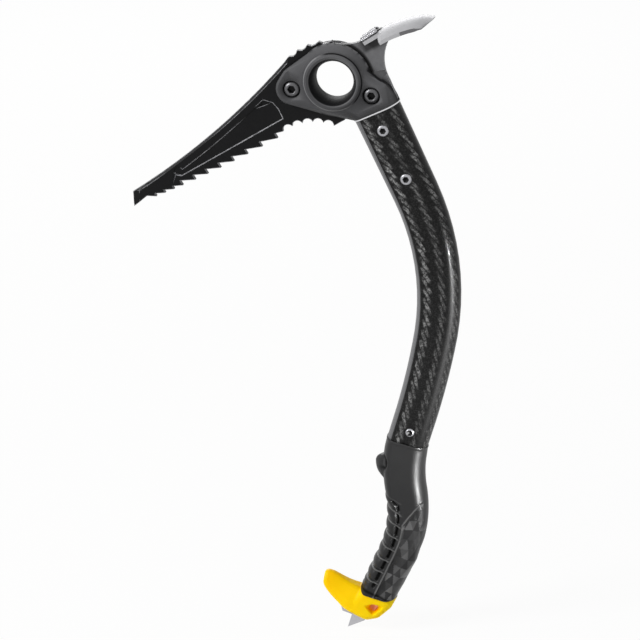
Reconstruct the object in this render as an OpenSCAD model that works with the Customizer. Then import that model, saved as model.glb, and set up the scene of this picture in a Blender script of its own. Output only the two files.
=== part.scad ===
// Ice climbing tool, in millimetres.
// The origin is the centre of the round eye in the head. The tool lies flat in the XZ plane:
// the pick points to -X, the adze to +X, the shaft runs down to -Z. Y is the thickness,
// along the axis of the eye, and every piece is the same on both sides of Y = 0.

/* [Shaft] */
// Width of the shaft where it leaves the head
shaft_w_top = 40; // [38:0.5:42]
// Width of the shaft where it enters the grip
shaft_w_low = 34.5; // [32:0.5:36]
// Thickness of the shaft from side to side
shaft_t = 25; // [23:0.5:27]
// Wall of the carbon tube
shaft_wall = 2.2; // [1.6:0.1:2.8]
// Depth of the waist along each side
shaft_waist = 0.8; // [0:0.1:1.6]
// How far the axis of the shaft passes behind the eye, at the neck
neck_x = 34.2; // [33.5:0.1:35]
// How far below the eye the neck of the head ends
neck_drop = 24; // [23:0.5:26]
// Lean of the neck from the vertical, in degrees
neck_lean = 25.6; // [24.4:0.2:27]
// Straight length of the shaft under the head
neck_len = 74; // [70:1:80]
// Radius of the main bow
bow_r = 208; // [198:1:220]
// Length of the main bow
bow_len = 128; // [118:1:136]
// Radius of the lower shaft
low_r = 650; // [560:10:800]
// Length of the lower shaft
low_len = 86; // [80:1:94]

/* [Front strip] */
// Thickness of the strip let into the front edge
strip_t = 0.8; // [0.5:0.1:1.2]

/* [Grip] */
// Radius of the sweep at the top of the grip
sweep_r = 105; // [96:1:116]
// Length of that sweep
sweep_len = 51; // [47:1:55]
// Radius of the hook at the bottom of the grip
hook_r = 99; // [92:1:110]
// Length of that hook
hook_len = 60; // [55:1:65]
// Length of the grip
grip_len = 141; // [138:0.5:144]
// Width of the grip at its top
grip_w_top = 36; // [35:0.5:38]
// Width of the grip at its bottom
grip_w_low = 31.5; // [30:0.5:33]
// Thickness of the grip from side to side
grip_t = 27.5; // [26.5:0.5:30]
// Width of the tube inside the grip
core_w = 27; // [25:0.5:28]
// Thickness of the tube inside the grip
core_t = 20; // [18:0.5:21]
// Height of the trigger nub
nub_h = 6.5; // [5:0.1:7.5]
// Length of the trigger nub
nub_len = 16.5; // [14:0.5:19]
// Distance of the nub from the top of the grip
nub_at = 23.5; // [20:0.5:27]
// Distance of the first rib from the top of the grip
rib_at = 50; // [47:1:54]
// Pitch of the ribs
rib_pitch = 10; // [9:0.5:11]
// Height of the ribs
rib_h = 1.4; // [0.8:0.1:1.8]
// Direction of the ribs, in degrees below the horizontal
rib_lean = 42; // [36:1:45]
// Depth of the groove behind the ribs
groove_d = 1.2; // [0.6:0.1:1.4]
// Depth of the facets on the back
facet_d = 1; // [0.5:0.1:1.2]

/* [Head] */
// Radius of the throat of the eye
eye_r = 15.7; // [15.2:0.1:16.2]
// Length of the straight throat
throat_len = 5; // [4:0.5:7]
// Radius of the flared mouth of the eye
mouth_r = 19.7; // [19.2:0.1:20.2]
// Thickness of the head over the ring
ring_t = 29; // [27:0.5:31]
// Radius of the raised ring
ring_r = 24.5; // [24:0.1:25.5]
// Radius of the rim around the ring
rim_r = 30.4; // [29.5:0.1:31]
// Thickness of the head at that rim
rim_t = 10; // [9:0.5:12]
// Thickness of the cheeks at the pick bolt
lobe_t = 17; // [16:0.5:19]
// Radius of the lobe round the pick bolt
lobe_r = 13; // [12.5:0.1:14]
// Thickness of the head at the adze bolt
hub_t = 23; // [21:0.5:24]
// How far the neck stands out round the shaft
neck_lip = 0.6; // [0.3:0.1:1]
// Thickness of the bright collar under the neck
collar_t = 1; // [0.6:0.1:1.6]
// Length of the tenon inside the shaft
tenon_len = 72; // [68:1:80]

/* [Bolts] */
// Pick bolt, distance in front of the eye
pick_bolt_x = 34.3; // [33.5:0.1:35]
// Pick bolt, distance below the eye
pick_bolt_z = 8.6; // [8:0.1:9.5]
// Adze bolt, distance behind the eye
adze_bolt_x = 31.3; // [30.8:0.1:32]
// Adze bolt, distance below the eye
adze_bolt_z = 10.3; // [9.5:0.1:11]
// Diameter of the shank of the head bolts
bolt_d = 8; // [7:0.5:8.5]
// Radius of the head of the head bolts
bolt_head_r = 6.4; // [6.2:0.1:6.8]
// Height of the head of the head bolts
bolt_head_h = 3.6; // [3.2:0.1:4]
// Width across the flats of their sockets
bolt_hex = 6; // [5.5:0.1:6.4]
// Radius of the recess round a bolt head
halo_r = 7.4; // [7.2:0.1:7.8]
// Radius of the barrel of the sleeve nuts
barrel_r = 5.4; // [5:0.1:5.8]

/* [Shaft screws] */
// Distance of the first screw from the neck
screw_a_at = 16; // [14:0.5:18]
// Distance of the second screw from the neck
screw_b_at = 60; // [56:0.5:62]
// Distance of the lower screw above the grip
screw_c_up = 11; // [9:0.5:13]
// Radius of the heads of the two upper screws
screw_head_r = 4.7; // [4.4:0.1:5]
// Radius of the head of the lower screw
screw_c_r = 3.6; // [3.3:0.1:4]
// Height of the screw heads over the shaft
screw_head_h = 1.4; // [1:0.1:2]
// Diameter of the shanks of the screws
screw_d = 4; // [3.5:0.1:4.4]
// Width across the flats of their sockets
screw_hex = 3; // [2.5:0.1:3.4]

/* [Pick] */
// Thickness of the pick
pick_t = 4; // [3.5:0.1:4.4]
// Reach of the pick in front of the eye
pick_reach = 168; // [160:1:176]
// Drop of the point of the pick below the eye
pick_drop = 103; // [99:0.5:107]
// Radius of the top edge of the pick
pick_back_r = 620; // [560:10:760]
// Height of the front edge at the point
point_h = 12.7; // [11:0.1:14]
// Pitch of the small teeth near the point
tooth_small = 8.2; // [7.8:0.1:8.6]
// Pitch of the first large tooth
tooth_large = 11.8; // [11:0.1:12.4]
// Growth of that pitch towards the head, per tooth squared
tooth_grow = 0.085; // [0.06:0.005:0.1]
// Depth of a large tooth
tooth_d = 4.2; // [3.5:0.1:5]
// Radius of the row of horns under the head
horn_row_r = 46.2; // [45:0.1:48]
// Radius of the scallops between the horns
scallop_r = 4.5; // [4.4:0.05:4.8]
// Depth of the milled recess in each side
recess_d = 0.6; // [0.3:0.1:1]
// Width of the bevel along the top edge
bevel_w = 2.2; // [1.5:0.1:3]
// Depth of that bevel
bevel_d = 1; // [0.6:0.1:1.4]

/* [Adze] */
// Thickness of the plate that carries the adze
mount_t = 4.6; // [4:0.1:5]
// Thickness of the adze blade
blade_t = 3; // [2.5:0.1:3.5]
// Length of the adze blade along its middle
blade_len = 62; // [58:0.5:66]
// Width of the adze blade
blade_w = 39.5; // [36:0.5:43]
// Width of the blade at its cutting edge
blade_end_w = 37; // [34:0.5:39]
// Height of the crown of the blade over its edges
blade_crown = 5.8; // [5:0.1:7]
// Slope of the blade at its root, in degrees
blade_rise = 38; // [35:0.5:41]
// Radius of the blade seen from the side
blade_bend_r = 85; // [78:1:100]
// How far the cutting edge bulges forward
blade_bulge = 9; // [6:0.5:11]
// Size of the weld beads
weld_w = 4; // [3.4:0.1:4.4]

/* [Pommel] */
// Thickness of the finger rest at its tip
rest_t = 17; // [15:0.5:19]
// Thickness of the pommel under the grip
pommel_t = 25; // [24:0.5:26.5]
// Radius of the round bottom of the pommel
pommel_r = 14; // [13.5:0.1:14.8]
// Radius of the leash hole
leash_r = 3.5; // [3:0.1:4]
// Tilt of the joint between grip and pommel, in degrees
joint_tilt = 9; // [7:0.5:11]
// How much lower that joint lies at the sides of the grip
joint_sag = 3; // [2:0.1:3.6]

/* [Spike] */
// Thickness of the spike
spike_t = 4; // [3.5:0.1:4.5]
// How far the main point stands below the pommel
spike_drop = 14.5; // [13:0.1:17]
// Diameter of the pins through the spike
pin_d = 4; // [3.5:0.1:4.5]

/* [Fits] */
// Clearance round plates in their slots
fit = 0.1; // [0.05:0.05:0.2]
// Thickness of the glue between bonded pieces
glue = 0.15; // [0.1:0.05:0.3]

/* [Hidden] */
$fn = 96;
// Turns a bend in radians into degrees
deg = 180 / PI;
// A cut reaches this far past what it cuts
past = 1;
// Half of the slot that holds both plates
slot_h = max(pick_t, mount_t) / 2 + fit;
// Wall of the tube that carries the eye through the slot
eye_wall = 2.9;
eye_tube_r = eye_r + eye_wall;
// Where the pick and the adze mount meet, behind the middle of the eye
seam_x = 5;
// Share of the half width at which the front and rear ridges of the shaft lie
ridge_front = 0.6;
ridge_back = 0.36;
// Steps round the nose, the web and the rear of the shaft section
nose_steps = 6;
web_steps = 4;
rear_steps = 6;
// Nose step at which the front strip ends
strip_steps = 4;
// The inner wall leans its matching point back by this angle
strip_skew = 3;
// How fast the shaft narrows
taper_power = 1.35;
// How far into the sweep the grip starts
grip_in = 7;
// Distances along the axis of the shaft, from the neck
grip_at = neck_len + bow_len + low_len + grip_in;
// Length over which the tube narrows inside the grip, and where it has its final size
step_len = 14;
core_at = 2 * step_len;
// Height of the glued plug behind the lower screw
plug_len = 22;
// The joint between grip and pommel passes through this distance along the axis
joint_at = grip_at + grip_len;
// The tube ends this far above the joint
tube_gap = 3;
tube_end = joint_at - tube_gap;
insert_len = 34;
tongue_w = 13;
tongue_t = 12;
tongue_end = joint_at + tongue_w / 2;

// Path of the shaft: curvature and length of each run
runs = [
    [0, neck_len],
    [-1 / bow_r, bow_len],
    [-1 / low_r, low_len],
    [1 / sweep_r, sweep_len],
    [-1 / hook_r, hook_len],
    [0, grip_len]
];

function stride(p, h, k, s) = abs(k) < 0.000001
    ? [p[0] + s * sin(h), p[1] - s * cos(h)]
    : [p[0] + (cos(h) - cos(h + k * s * deg)) / k,
       p[1] - (sin(h + k * s * deg) - sin(h)) / k];

// Heading of the axis at distance s, in degrees from straight down
function heading(s, i = 0, h = neck_lean) = (i == len(runs) - 1 || s <= runs[i][1])
    ? h + runs[i][0] * s * deg
    : heading(s - runs[i][1], i + 1, h + runs[i][0] * runs[i][1] * deg);

// Place of the axis at distance s, in the XZ plane
function spot(s, i = 0, p = [neck_x, -neck_drop], h = neck_lean) =
    (i == len(runs) - 1 || s <= runs[i][1])
    ? stride(p, h, runs[i][0], s)
    : spot(s - runs[i][1], i + 1, stride(p, h, runs[i][0], runs[i][1]),
        h + runs[i][0] * runs[i][1] * deg);

function across(s, u) = spot(s) + u * [cos(heading(s)), sin(heading(s))];
function lift(s, u, v) = [across(s, u)[0], v, across(s, u)[1]];
function mix(a, b, t) = a + (b - a) * t;
function clamp(t) = min(1, max(0, t));
function ease(t) = clamp(t) * clamp(t) * (3 - 2 * clamp(t));

// Half width and half thickness of the tube
function tube_w(s) = s <= grip_at
    ? mix(shaft_w_low, shaft_w_top, pow(1 - clamp(s / grip_at), taper_power)) / 2
    : mix(shaft_w_low, core_w, ease((s - grip_at) / step_len)) / 2;
function tube_t(s) = mix(shaft_t, core_t, ease((s - grip_at) / step_len)) / 2;

// One side of the shaft section, from the front edge to the rear edge.
// The nose may be let in for the strip, and the wall inside has a matching point.
function nose_pt(w, t, b) = [-ridge_front * w - (1 - ridge_front) * w * cos(b), t * sin(b)];
function half_section(w, t, waist, inset, skew) = concat(
    [for (i = [0:strip_steps]) nose_pt(w - inset, t - inset, i * 90 / nose_steps)],
    [for (i = [strip_steps:nose_steps])
        nose_pt(w, t, i * 90 / nose_steps + (i == strip_steps ? skew : 0))],
    [for (i = [1:web_steps - 1]) let (f = i / web_steps)
        [mix(-ridge_front, ridge_back, f) * w, t - 4 * waist * f * (1 - f)]],
    [for (i = [0:rear_steps]) let (b = 90 - 90 * i / rear_steps)
        [ridge_back * w + (1 - ridge_back) * w * cos(b), t * sin(b)]]
);
function both_sides(h) = concat(h, [for (i = [len(h) - 2:-1:1]) [h[i][0], -h[i][1]]]);
function section(w, t, waist, inset = 0, skew = strip_skew) =
    both_sides(half_section(w, t, waist, inset, skew));
function place(s, ring) = [for (q = ring) lift(s, q[0], q[1])];
function steps(a, b, n) = [for (i = [0:n]) mix(a, b, i / n)];

// A closed solid through rings of equal point counts, its end faces cut into pairs of
// triangles between the two halves of the ring
module skin(rings) {
    n = len(rings[0]);
    m = len(rings);
    e = (m - 1) * n;
    polyhedron(
        points = [for (r = rings) each r],
        faces = concat(
            [for (i = [0:n / 2 - 2]) each [[i, i + 1, n - 2 - i], [i, n - 2 - i, n - 1 - i]]],
            [for (j = [0:m - 2], i = [0:n - 1]) each let (a = j * n + i, b = j * n + (i + 1) % n)
                [[a, a + n, b + n], [a, b + n, b]]],
            [for (i = [0:n / 2 - 2]) each
                [[e + i, e + n - 2 - i, e + i + 1], [e + i, e + n - 1 - i, e + n - 2 - i]]]
        )
    );
}

// A tube through outer rings and inner rings of equal point counts
module pipe(outer, inner) {
    n = len(outer[0]);
    m = len(outer);
    k = len(inner);
    q = m * n;
    polyhedron(
        points = concat([for (r = outer) each r], [for (r = inner) each r]),
        faces = concat(
            [for (j = [0:m - 2], i = [0:n - 1]) each let (a = j * n + i, b = j * n + (i + 1) % n)
                [[a, a + n, b + n], [a, b + n, b]]],
            [for (j = [0:k - 2], i = [0:n - 1])
                each let (a = q + j * n + i, b = q + j * n + (i + 1) % n)
                [[a, b + n, a + n], [a, b, b + n]]],
            [for (i = [0:n - 1]) each let (b = (i + 1) % n)
                [[i, b, q + b], [i, q + b, q + i]]],
            [for (i = [0:n - 1]) each let (b = (i + 1) % n, e = (m - 1) * n, f = q + (k - 1) * n)
                [[e + i, f + b, e + b], [e + i, f + i, f + b]]]
        )
    );
}

// A plate of thickness t in the XZ plane, centred on Y = 0
module plate(t) {
    rotate([90, 0, 0]) linear_extrude(height = t, center = true) children();
}

// Moves what is drawn along Z to a point of the XZ plane, with its axis along -Y
module facing(x, z) {
    translate([x, 0, z]) rotate([90, 0, 0]) children();
}

// A disc with a bevelled rim, its axis along Y
module button(x, z, r, t, edge) {
    facing(x, z) {
        cylinder(h = t - 2 * edge, r = r, center = true, $fn = 48);
        cylinder(h = t, r = r - edge, center = true, $fn = 48);
    }
}

// Shapes of the tenon and of what surrounds it
function bore_ring(s, gap) =
    place(s, section(tube_w(s) - shaft_wall - gap, tube_t(s) - shaft_wall - gap, shaft_waist));

// HEAD

mouth_depth = ring_t / 2;
ring_top = 1.9;
module ring_half() {
    polygon([
        [eye_r, 0],
        [eye_r, throat_len / 2],
        [mix(eye_r, mouth_r, 0.2), mix(throat_len / 2, mouth_depth, 0.5)],
        [mouth_r, mouth_depth - 0.4],
        [mouth_r + 0.6, mouth_depth],
        [mouth_r + ring_top, mouth_depth],
        [ring_r - 1, mouth_depth - 1.6],
        [ring_r, mouth_depth - 3.4],
        [rim_r, rim_t / 2],
        [rim_r, 0]
    ]);
}

module ring() {
    rotate([90, 0, 0]) rotate_extrude() union() {
        ring_half();
        mirror([0, 1]) ring_half();
    }
}

// The corner of the neck behind the adze bolt
corner_x = 40.5;
corner_z = -3.5;
corner_r = 3.5;
// The hollow in front of the adze, a cylinder across the head
hollow_x = 44;
hollow_z = 15;
hollow_r = 14.6;

module cheeks() {
    hull() {
        button(-pick_bolt_x, -pick_bolt_z, lobe_r, lobe_t, 1.6);
        button(-pick_bolt_x + 3, -pick_bolt_z + 7, lobe_r - 1, lobe_t, 1.6);
        button(0, 0, rim_r - 0.6, lobe_t, 3.4);
    }
    difference() {
        hull() {
            skin([place(-5, section(tube_w(0) + neck_lip, tube_t(0) + neck_lip, 0)),
                place(0, section(tube_w(0) + neck_lip, tube_t(0) + neck_lip, 0))]);
            button(adze_bolt_x, -adze_bolt_z, 11, hub_t, 1.5);
            button(corner_x, corner_z, corner_r, hub_t - 3, 1.5);
            button(0, -4, rim_r - 5, hub_t - 4, 3);
        }
        facing(hollow_x, hollow_z) cylinder(h = 2 * ring_t, r = hollow_r, center = true);
    }
}

// Floor of the slot over the neck
module slot_2d() {
    difference() {
        union() {
            translate([-90, -90]) square([90 + seam_x + 4, 180]);
            polygon([[0, -26], [floor_x, -26], [mount_end_x + 8, mount_end_z], [80, 60], [0, 60]]);
        }
        circle(r = eye_tube_r);
    }
}
floor_x = 12;
mount_end_x = 52.6;
mount_end_z = -13.6;

module head_bore(x, z, r) {
    facing(x, z) cylinder(h = 2 * ring_t, r = r, center = true);
}

module halo(x, z, face_t) {
    for (side = [-1, 1])
        translate([x, side * (face_t / 2 + past - bolt_head_h / 2), z]) rotate([90, 0, 0])
            cylinder(h = bolt_head_h + 2 * past, r = halo_r, center = true);
}

module head_forging() {
    color("dimgray") difference() {
        union() {
            ring();
            difference() {
                cheeks();
                head_bore(0, 0, (mouth_r + ring_r) / 2);
            }
            skin([for (s = [-4, tenon_len / 2, tenon_len]) bore_ring(s, glue)]);
        }
        plate(2 * slot_h) slot_2d();
        head_bore(-pick_bolt_x, -pick_bolt_z, bolt_d / 2 + fit);
        head_bore(adze_bolt_x, -adze_bolt_z, bolt_d / 2 + fit);
        far_bore(-pick_bolt_x, -pick_bolt_z);
        far_bore(adze_bolt_x, -adze_bolt_z);
        halo(-pick_bolt_x, -pick_bolt_z, lobe_t);
        halo(adze_bolt_x, -adze_bolt_z, hub_t);
        for (s = [screw_a_at, screw_b_at])
            head_bore(spot(s)[0], spot(s)[1], barrel_small_r + fit);
    }
}

module far_bore(x, z) {
    translate([x, slot_h + ring_t / 2, z]) rotate([90, 0, 0])
        cylinder(h = ring_t, r = barrel_r + fit, center = true);
}

module head_collar() {
    w = tube_w(0);
    t = tube_t(0);
    color("silver") pipe(
        [for (s = [0, collar_t]) place(s, section(w + neck_lip, t + neck_lip, 0))],
        [for (s = [0, collar_t]) place(s, section(w - shaft_wall, t - shaft_wall, shaft_waist))]
    );
}

// BOLTS

// A button bolt: its head under the near face, its shank towards +Y
module socket_bolt(x, z, face_t) {
    seat = face_t / 2 - bolt_head_h;
    difference() {
        union() {
            translate([x, -seat, z]) rotate([90, 0, 0]) rotate_extrude() polygon([
                [0, 0],
                [bolt_head_r, 0],
                [bolt_head_r, bolt_head_h * 0.45],
                [bolt_head_r - 0.9, bolt_head_h * 0.8],
                [bolt_head_r - 2.2, bolt_head_h],
                [0, bolt_head_h]
            ]);
            translate([x, -seat, z]) rotate([-90, 0, 0])
                cylinder(h = 2 * seat - 1, d = bolt_d);
        }
        translate([x, -seat - bolt_head_h * 0.15, z]) rotate([90, 0, 0])
            cylinder(h = bolt_head_h, d = bolt_hex / cos(30), $fn = 6);
    }
}

// A sleeve nut in the far cheek: a barrel round the end of the shank, and a head
module sleeve_nut(x, z, face_t) {
    seat = face_t / 2 - bolt_head_h;
    difference() {
        union() {
            translate([x, slot_h + fit, z]) rotate([-90, 0, 0])
                cylinder(h = seat - slot_h - fit, r = barrel_r);
            translate([x, seat, z]) rotate([-90, 0, 0]) rotate_extrude() polygon([
                [0, 0],
                [bolt_head_r, 0],
                [bolt_head_r, bolt_head_h * 0.45],
                [bolt_head_r - 0.9, bolt_head_h * 0.8],
                [bolt_head_r - 2.2, bolt_head_h],
                [0, bolt_head_h]
            ]);
        }
        translate([x, 0, z]) rotate([-90, 0, 0]) cylinder(h = seat - 0.8, d = bolt_d);
        translate([x, seat + bolt_head_h * 0.15, z]) rotate([-90, 0, 0])
            cylinder(h = bolt_head_h, d = bolt_hex / cos(30), $fn = 6);
    }
}

module pick_bolt() {
    color("slategray") socket_bolt(-pick_bolt_x, -pick_bolt_z, lobe_t);
}
module pick_bolt_nut() {
    color("slategray") sleeve_nut(-pick_bolt_x, -pick_bolt_z, lobe_t);
}
module adze_bolt() {
    color("slategray") socket_bolt(adze_bolt_x, -adze_bolt_z, hub_t);
}
module adze_bolt_nut() {
    color("slategray") sleeve_nut(adze_bolt_x, -adze_bolt_z, hub_t);
}

// PICK

// Ends of the top edge, and the centre of its arc
pick_a = [-pick_reach, -pick_drop];
pick_b = [-42.2, 11];
back_mid = (pick_a + pick_b) / 2;
back_run = norm(pick_b - pick_a);
back_dir = (pick_b - pick_a) / back_run;
back_up = [-back_dir[1], back_dir[0]];
back_c = back_mid + back_up * sqrt(pow(pick_back_r, 2) - pow(back_run / 2, 2));
back_a0 = atan2(pick_a[1] - back_c[1], pick_a[0] - back_c[0]);
back_a1 = atan2(pick_b[1] - back_c[1], pick_b[0] - back_c[0]);
function back_pt(f, off = 0) =
    back_c + (pick_back_r + off) * [cos(mix(back_a0, back_a1, f)), sin(mix(back_a0, back_a1, f))];

// Tips of the saw teeth, from the point back to the head
small_count = 3;
large_count = 7;
tooth_first = pick_a + [20, -3];
tooth_dir = 24;
tooth_turn = 0.7;
function run_len(i) = i < small_count ? tooth_small
    : tooth_large + tooth_grow * pow(i - small_count, 2);
function tooth_way(i) = tooth_dir + tooth_turn * i;
function tip_pt(i) = i == 0 ? tooth_first
    : tip_pt(i - 1) + run_len(i - 1) * [cos(tooth_way(i)), sin(tooth_way(i))];
function bite(i) = i < small_count ? tooth_d * 0.62 : tooth_d;
function gullet_pt(i) = tip_pt(i) + bite(i) * [-0.6, 0.9];

// The row of horns lies on an arc under the head
horn_c = [-15, -83];
horn_step = 10.8;
horn_first = 72;
horn_count = 6;
function horn_way(i) = horn_first + horn_step * i;
function horn_pt(i, r) = horn_c + r * [cos(horn_way(i)), sin(horn_way(i))];

// The small teeth over the head lie on a curve that closes on the ring
crest_count = 5;
crest_first = 155.8;
crest_r = 41.4;
function crest_way(i) = crest_first - 10.9 * i - 1.1 * i * i;
function crest_pt(i, drop) = (crest_r - 3.4 * i + 0.25 * i * i - drop)
    * [cos(crest_way(i)), sin(crest_way(i))];

module pick_2d() {
    difference() {
        polygon(concat(
            [for (i = [0:20]) back_pt(i / 20)],
            [for (i = [0:crest_count - 1])
                each [crest_pt(i, 0), crest_pt(i + 0.28, 2.4), crest_pt(i + 0.62, 2)]],
            [[seam_x - fit, 29.6], [seam_x - fit, -26], [seam_x + 3.6, -26], [seam_x + 3.6, -33.4]],
            [for (i = [0:horn_count - 1]) horn_pt(i, horn_row_r)],
            [for (i = [small_count + large_count:-1:0]) each [gullet_pt(i), tip_pt(i)]],
            [pick_a + [12, -3], pick_a + [0.8, -point_h]]
        ));
        for (i = [0:horn_count - 2])
            translate(horn_pt(i + 0.5, horn_row_r + 3.4 - scallop_r)) circle(r = scallop_r);
        circle(r = eye_tube_r + fit);
        translate([-pick_bolt_x, -pick_bolt_z]) circle(d = bolt_d + 2 * fit);
    }
}

// The recess milled in each side follows the two edges
module recess_2d() {
    union() {
        polygon(concat(
            [for (i = [0:8]) back_pt(mix(0.24, 0.8, i / 8), 8)],
            [[-51, -22], [-46, -27.5], [-42.5, -35], [-91.5, -65.5], [-127, -87.4]]
        ));
        translate([-129.6, -83.6]) circle(r = 3.6);
    }
}

module edge_bevel(side) {
    translate([back_c[0], 0, back_c[1]]) rotate([90, 0, 0])
        rotate([0, 0, back_a0 - 1]) rotate_extrude(angle = back_a1 - back_a0 + 1.2, $fn = 720)
            polygon([
                [pick_back_r - past, side * (pick_t / 2 + past)],
                [pick_back_r - past, side * (pick_t / 2 - bevel_d * (1 + past / bevel_w))],
                [pick_back_r + bevel_w * (1 + past / bevel_d), side * (pick_t / 2 + past)]
            ]);
}

// The point is ground to an edge along its front
module point_bevel(side) {
    translate([-pick_reach - 0.4, side * 0.5, -pick_drop - point_h / 2])
        rotate([0, 0, side * 14]) translate([-20, side > 0 ? 0 : -10, -30]) cube([44, 10, 60]);
}

module pick() {
    color([0.11, 0.11, 0.12]) difference() {
        plate(pick_t) pick_2d();
        for (side = [-1, 1]) {
            edge_bevel(side);
            intersection() {
                point_bevel(side);
                translate([-pick_reach - 8, -10, -pick_drop - 30]) cube([14, 20, 60]);
            }
            translate([0, side * (pick_t / 2 - recess_d + 5), 0]) plate(10) recess_2d();
        }
    }
}

// ADZE

// Middle line of the blade: straight from its root, then an arc
blade_root = [24.5, 31.8];
root_len = 7.5;
function blade_slope(l) = blade_rise - max(0, l - root_len) / blade_bend_r * deg;
function blade_mid(l) = blade_root + min(l, root_len) * [cos(blade_rise), sin(blade_rise)]
    + blade_bend_r * [
        sin(blade_rise) - sin(blade_slope(l)),
        cos(blade_slope(l)) - cos(blade_rise)
    ];
tang_len = 14;
tang_w = 17;
blade_steps = 8;
function blade_half(l) = l < tang_len ? tang_w / 2
    : mix(blade_w, blade_end_w, clamp(2 * l / blade_len - 1)) / 2;
function blade_thick(f) = mix(blade_t, 0.7, ease((f - 0.82) / 0.18));
// Length along the blade at share f, for the place q across it from -1 to 1
function blade_l(f, q) = let (l = f * blade_len)
    l - (f > 0.5 ? (f - 0.5) * 2 * blade_bulge * q * q : 0);
function blade_pt(f, q, up) = let (
    l = blade_l(f, q),
    h = blade_half(f * blade_len),
    m = blade_mid(l),
    o = up * blade_thick(f) / 2
        - blade_crown * ease(l / tang_len + 0.1) * pow(2 * q * h / blade_w, 2)
) [m[0] - o * sin(blade_slope(l)), q * h, m[1] + o * cos(blade_slope(l))];
function blade_ring(f) = concat(
    [for (i = [0:blade_steps]) blade_pt(f, -1 + 2 * i / blade_steps, 1)],
    [for (i = [blade_steps:-1:0]) blade_pt(f, -1 + 2 * i / blade_steps, -1)]
);
blade_stations = concat([for (l = [0, 5, 10, tang_len - 0.1, tang_len + 0.1]) l / blade_len],
    steps((tang_len + 3) / blade_len, 1, 10));

module adze_blade() {
    color("silver") difference() {
        skin([for (f = blade_stations) blade_ring(f)]);
        plate(mount_t + 2 * fit) ridge_2d(fit);
    }
}

// Part of the mount that stands up through the root of the blade
ridge_end = (tang_len + 2.8) / blade_len;
ridge_x = blade_mid(ridge_end * blade_len)[0];
ridge_z = blade_pt(ridge_end, 0, 1)[2] + 0.8;
module ridge_2d(gap) {
    polygon([[10, 20 - gap], [10, 60], [ridge_x + gap, 60], [ridge_x + gap, 20 - gap]]);
}

module adze_mount_2d() {
    difference() {
        polygon(concat(
            [[seam_x, 17], [seam_x, 30], [26.5, 39.5], [ridge_x - fit, ridge_z]],
            [for (l = [0, 2, 4, 6]) let (q = blade_pt(ridge_end + l / blade_len, 0, -1))
                [q[0] - (l == 0 ? fit : 0), q[2] - fit]],
            [[47, 40], [41.4, 8.6], [51.4, -14], [floor_x, -26], [seam_x, -26]]
        ));
        translate([9, 55]) circle(r = 25.5);
        translate([73.7, 18.5]) circle(r = 33.75);
        circle(r = eye_tube_r + fit);
        translate([adze_bolt_x, -adze_bolt_z]) circle(d = bolt_d + 2 * fit);
    }
}

module adze_mount() {
    color("gray") plate(mount_t) adze_mount_2d();
}

// Beads along the corner between the blade's root and the mount, on both sides
module adze_welds() {
    color("gainsboro") for (side = [-1, 1]) {
        p = blade_pt(0.5 / blade_len, 0.3, 1);
        q = blade_pt((tang_len - 0.7) / blade_len, 0.3, 1);
        y0 = side * (mount_t / 2);
        skin([for (e = side > 0 ? [p, q] : [q, p]) [
            [e[0], y0, e[2] + 0.12],
            [e[0] - weld_w * 0.3, y0, e[2] + weld_w * 0.5],
            [e[0] - weld_w * 0.2, y0 + side * weld_w * 0.7, e[2] + weld_w * 0.4],
            [e[0], y0 + side * weld_w, e[2] + 0.12]
        ]]);
    }
}

// SHAFT

tube_stations = concat(steps(collar_t, grip_at, 24), steps(grip_at + 4, grip_at + step_len, 2),
    steps(grip_at + core_at, tube_end, 6));

module shaft_tube() {
    color([0.16, 0.16, 0.17]) difference() {
        pipe(
            [for (s = tube_stations) place(s, section(tube_w(s), tube_t(s), shaft_waist, strip_t, 0))],
            [for (s = tube_stations) bore_ring(s, 0)]
        );
        for (s = [screw_a_at, screw_b_at])
            head_bore(spot(s)[0], spot(s)[1], barrel_small_r + fit);
        head_bore(spot(screw_c_at)[0], spot(screw_c_at)[1], barrel_small_r + fit);
    }
}
screw_c_at = grip_at - screw_c_up;
barrel_small_r = screw_d / 2 + 1;

// The strip fills the step in the front edge
function strip_ring(s) = let (w = tube_w(s), t = tube_t(s)) concat(
    [for (i = [strip_steps:-1:-strip_steps]) let (p = nose_pt(w, t, i * 90 / nose_steps)) p],
    [for (i = [-strip_steps:strip_steps]) nose_pt(w - strip_t, t - strip_t, i * 90 / nose_steps)]
);
module shaft_strip() {
    color("gray") skin([for (s = [for (q = tube_stations) if (q <= grip_at + 0.01) q])
        place(s, [for (i = [17:-1:0]) strip_ring(s)[i]])]);
}

// Waisted side of the shaft where a screw goes through
function side_y(s) = tube_t(s) - shaft_waist * 4 * waist_share * (1 - waist_share);
waist_share = 0.625;

module shaft_screw(s, r) {
    p = spot(s);
    y = side_y(s) + fit;
    difference() {
        union() {
            translate([p[0], -y, p[1]]) rotate([90, 0, 0]) rotate_extrude() polygon([
                [0, 0], [r, 0], [r, screw_head_h * 0.4],
                [r - 0.8, screw_head_h], [0, screw_head_h]
            ]);
            translate([p[0], -y, p[1]]) rotate([-90, 0, 0]) cylinder(h = 2 * y - 3, d = screw_d);
        }
        translate([p[0], -y + 0.4, p[1]]) rotate([90, 0, 0])
            cylinder(h = 4, d = screw_hex / cos(30), $fn = 6);
    }
}
module shaft_nut(s, r) {
    p = spot(s);
    y = side_y(s) + fit;
    difference() {
        union() {
            translate([p[0], y, p[1]]) rotate([-90, 0, 0]) rotate_extrude() polygon([
                [0, 0], [r, 0], [r, screw_head_h * 0.4],
                [r - 0.8, screw_head_h], [0, screw_head_h]
            ]);
            translate([p[0], -4, p[1]]) rotate([-90, 0, 0])
                cylinder(h = y + 4, r = barrel_small_r);
        }
        translate([p[0], -5, p[1]]) rotate([-90, 0, 0]) cylinder(h = y + 2.5, d = screw_d);
        translate([p[0], y - 0.4, p[1]]) rotate([-90, 0, 0])
            cylinder(h = 4, d = screw_hex / cos(30), $fn = 6);
    }
}
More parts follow.
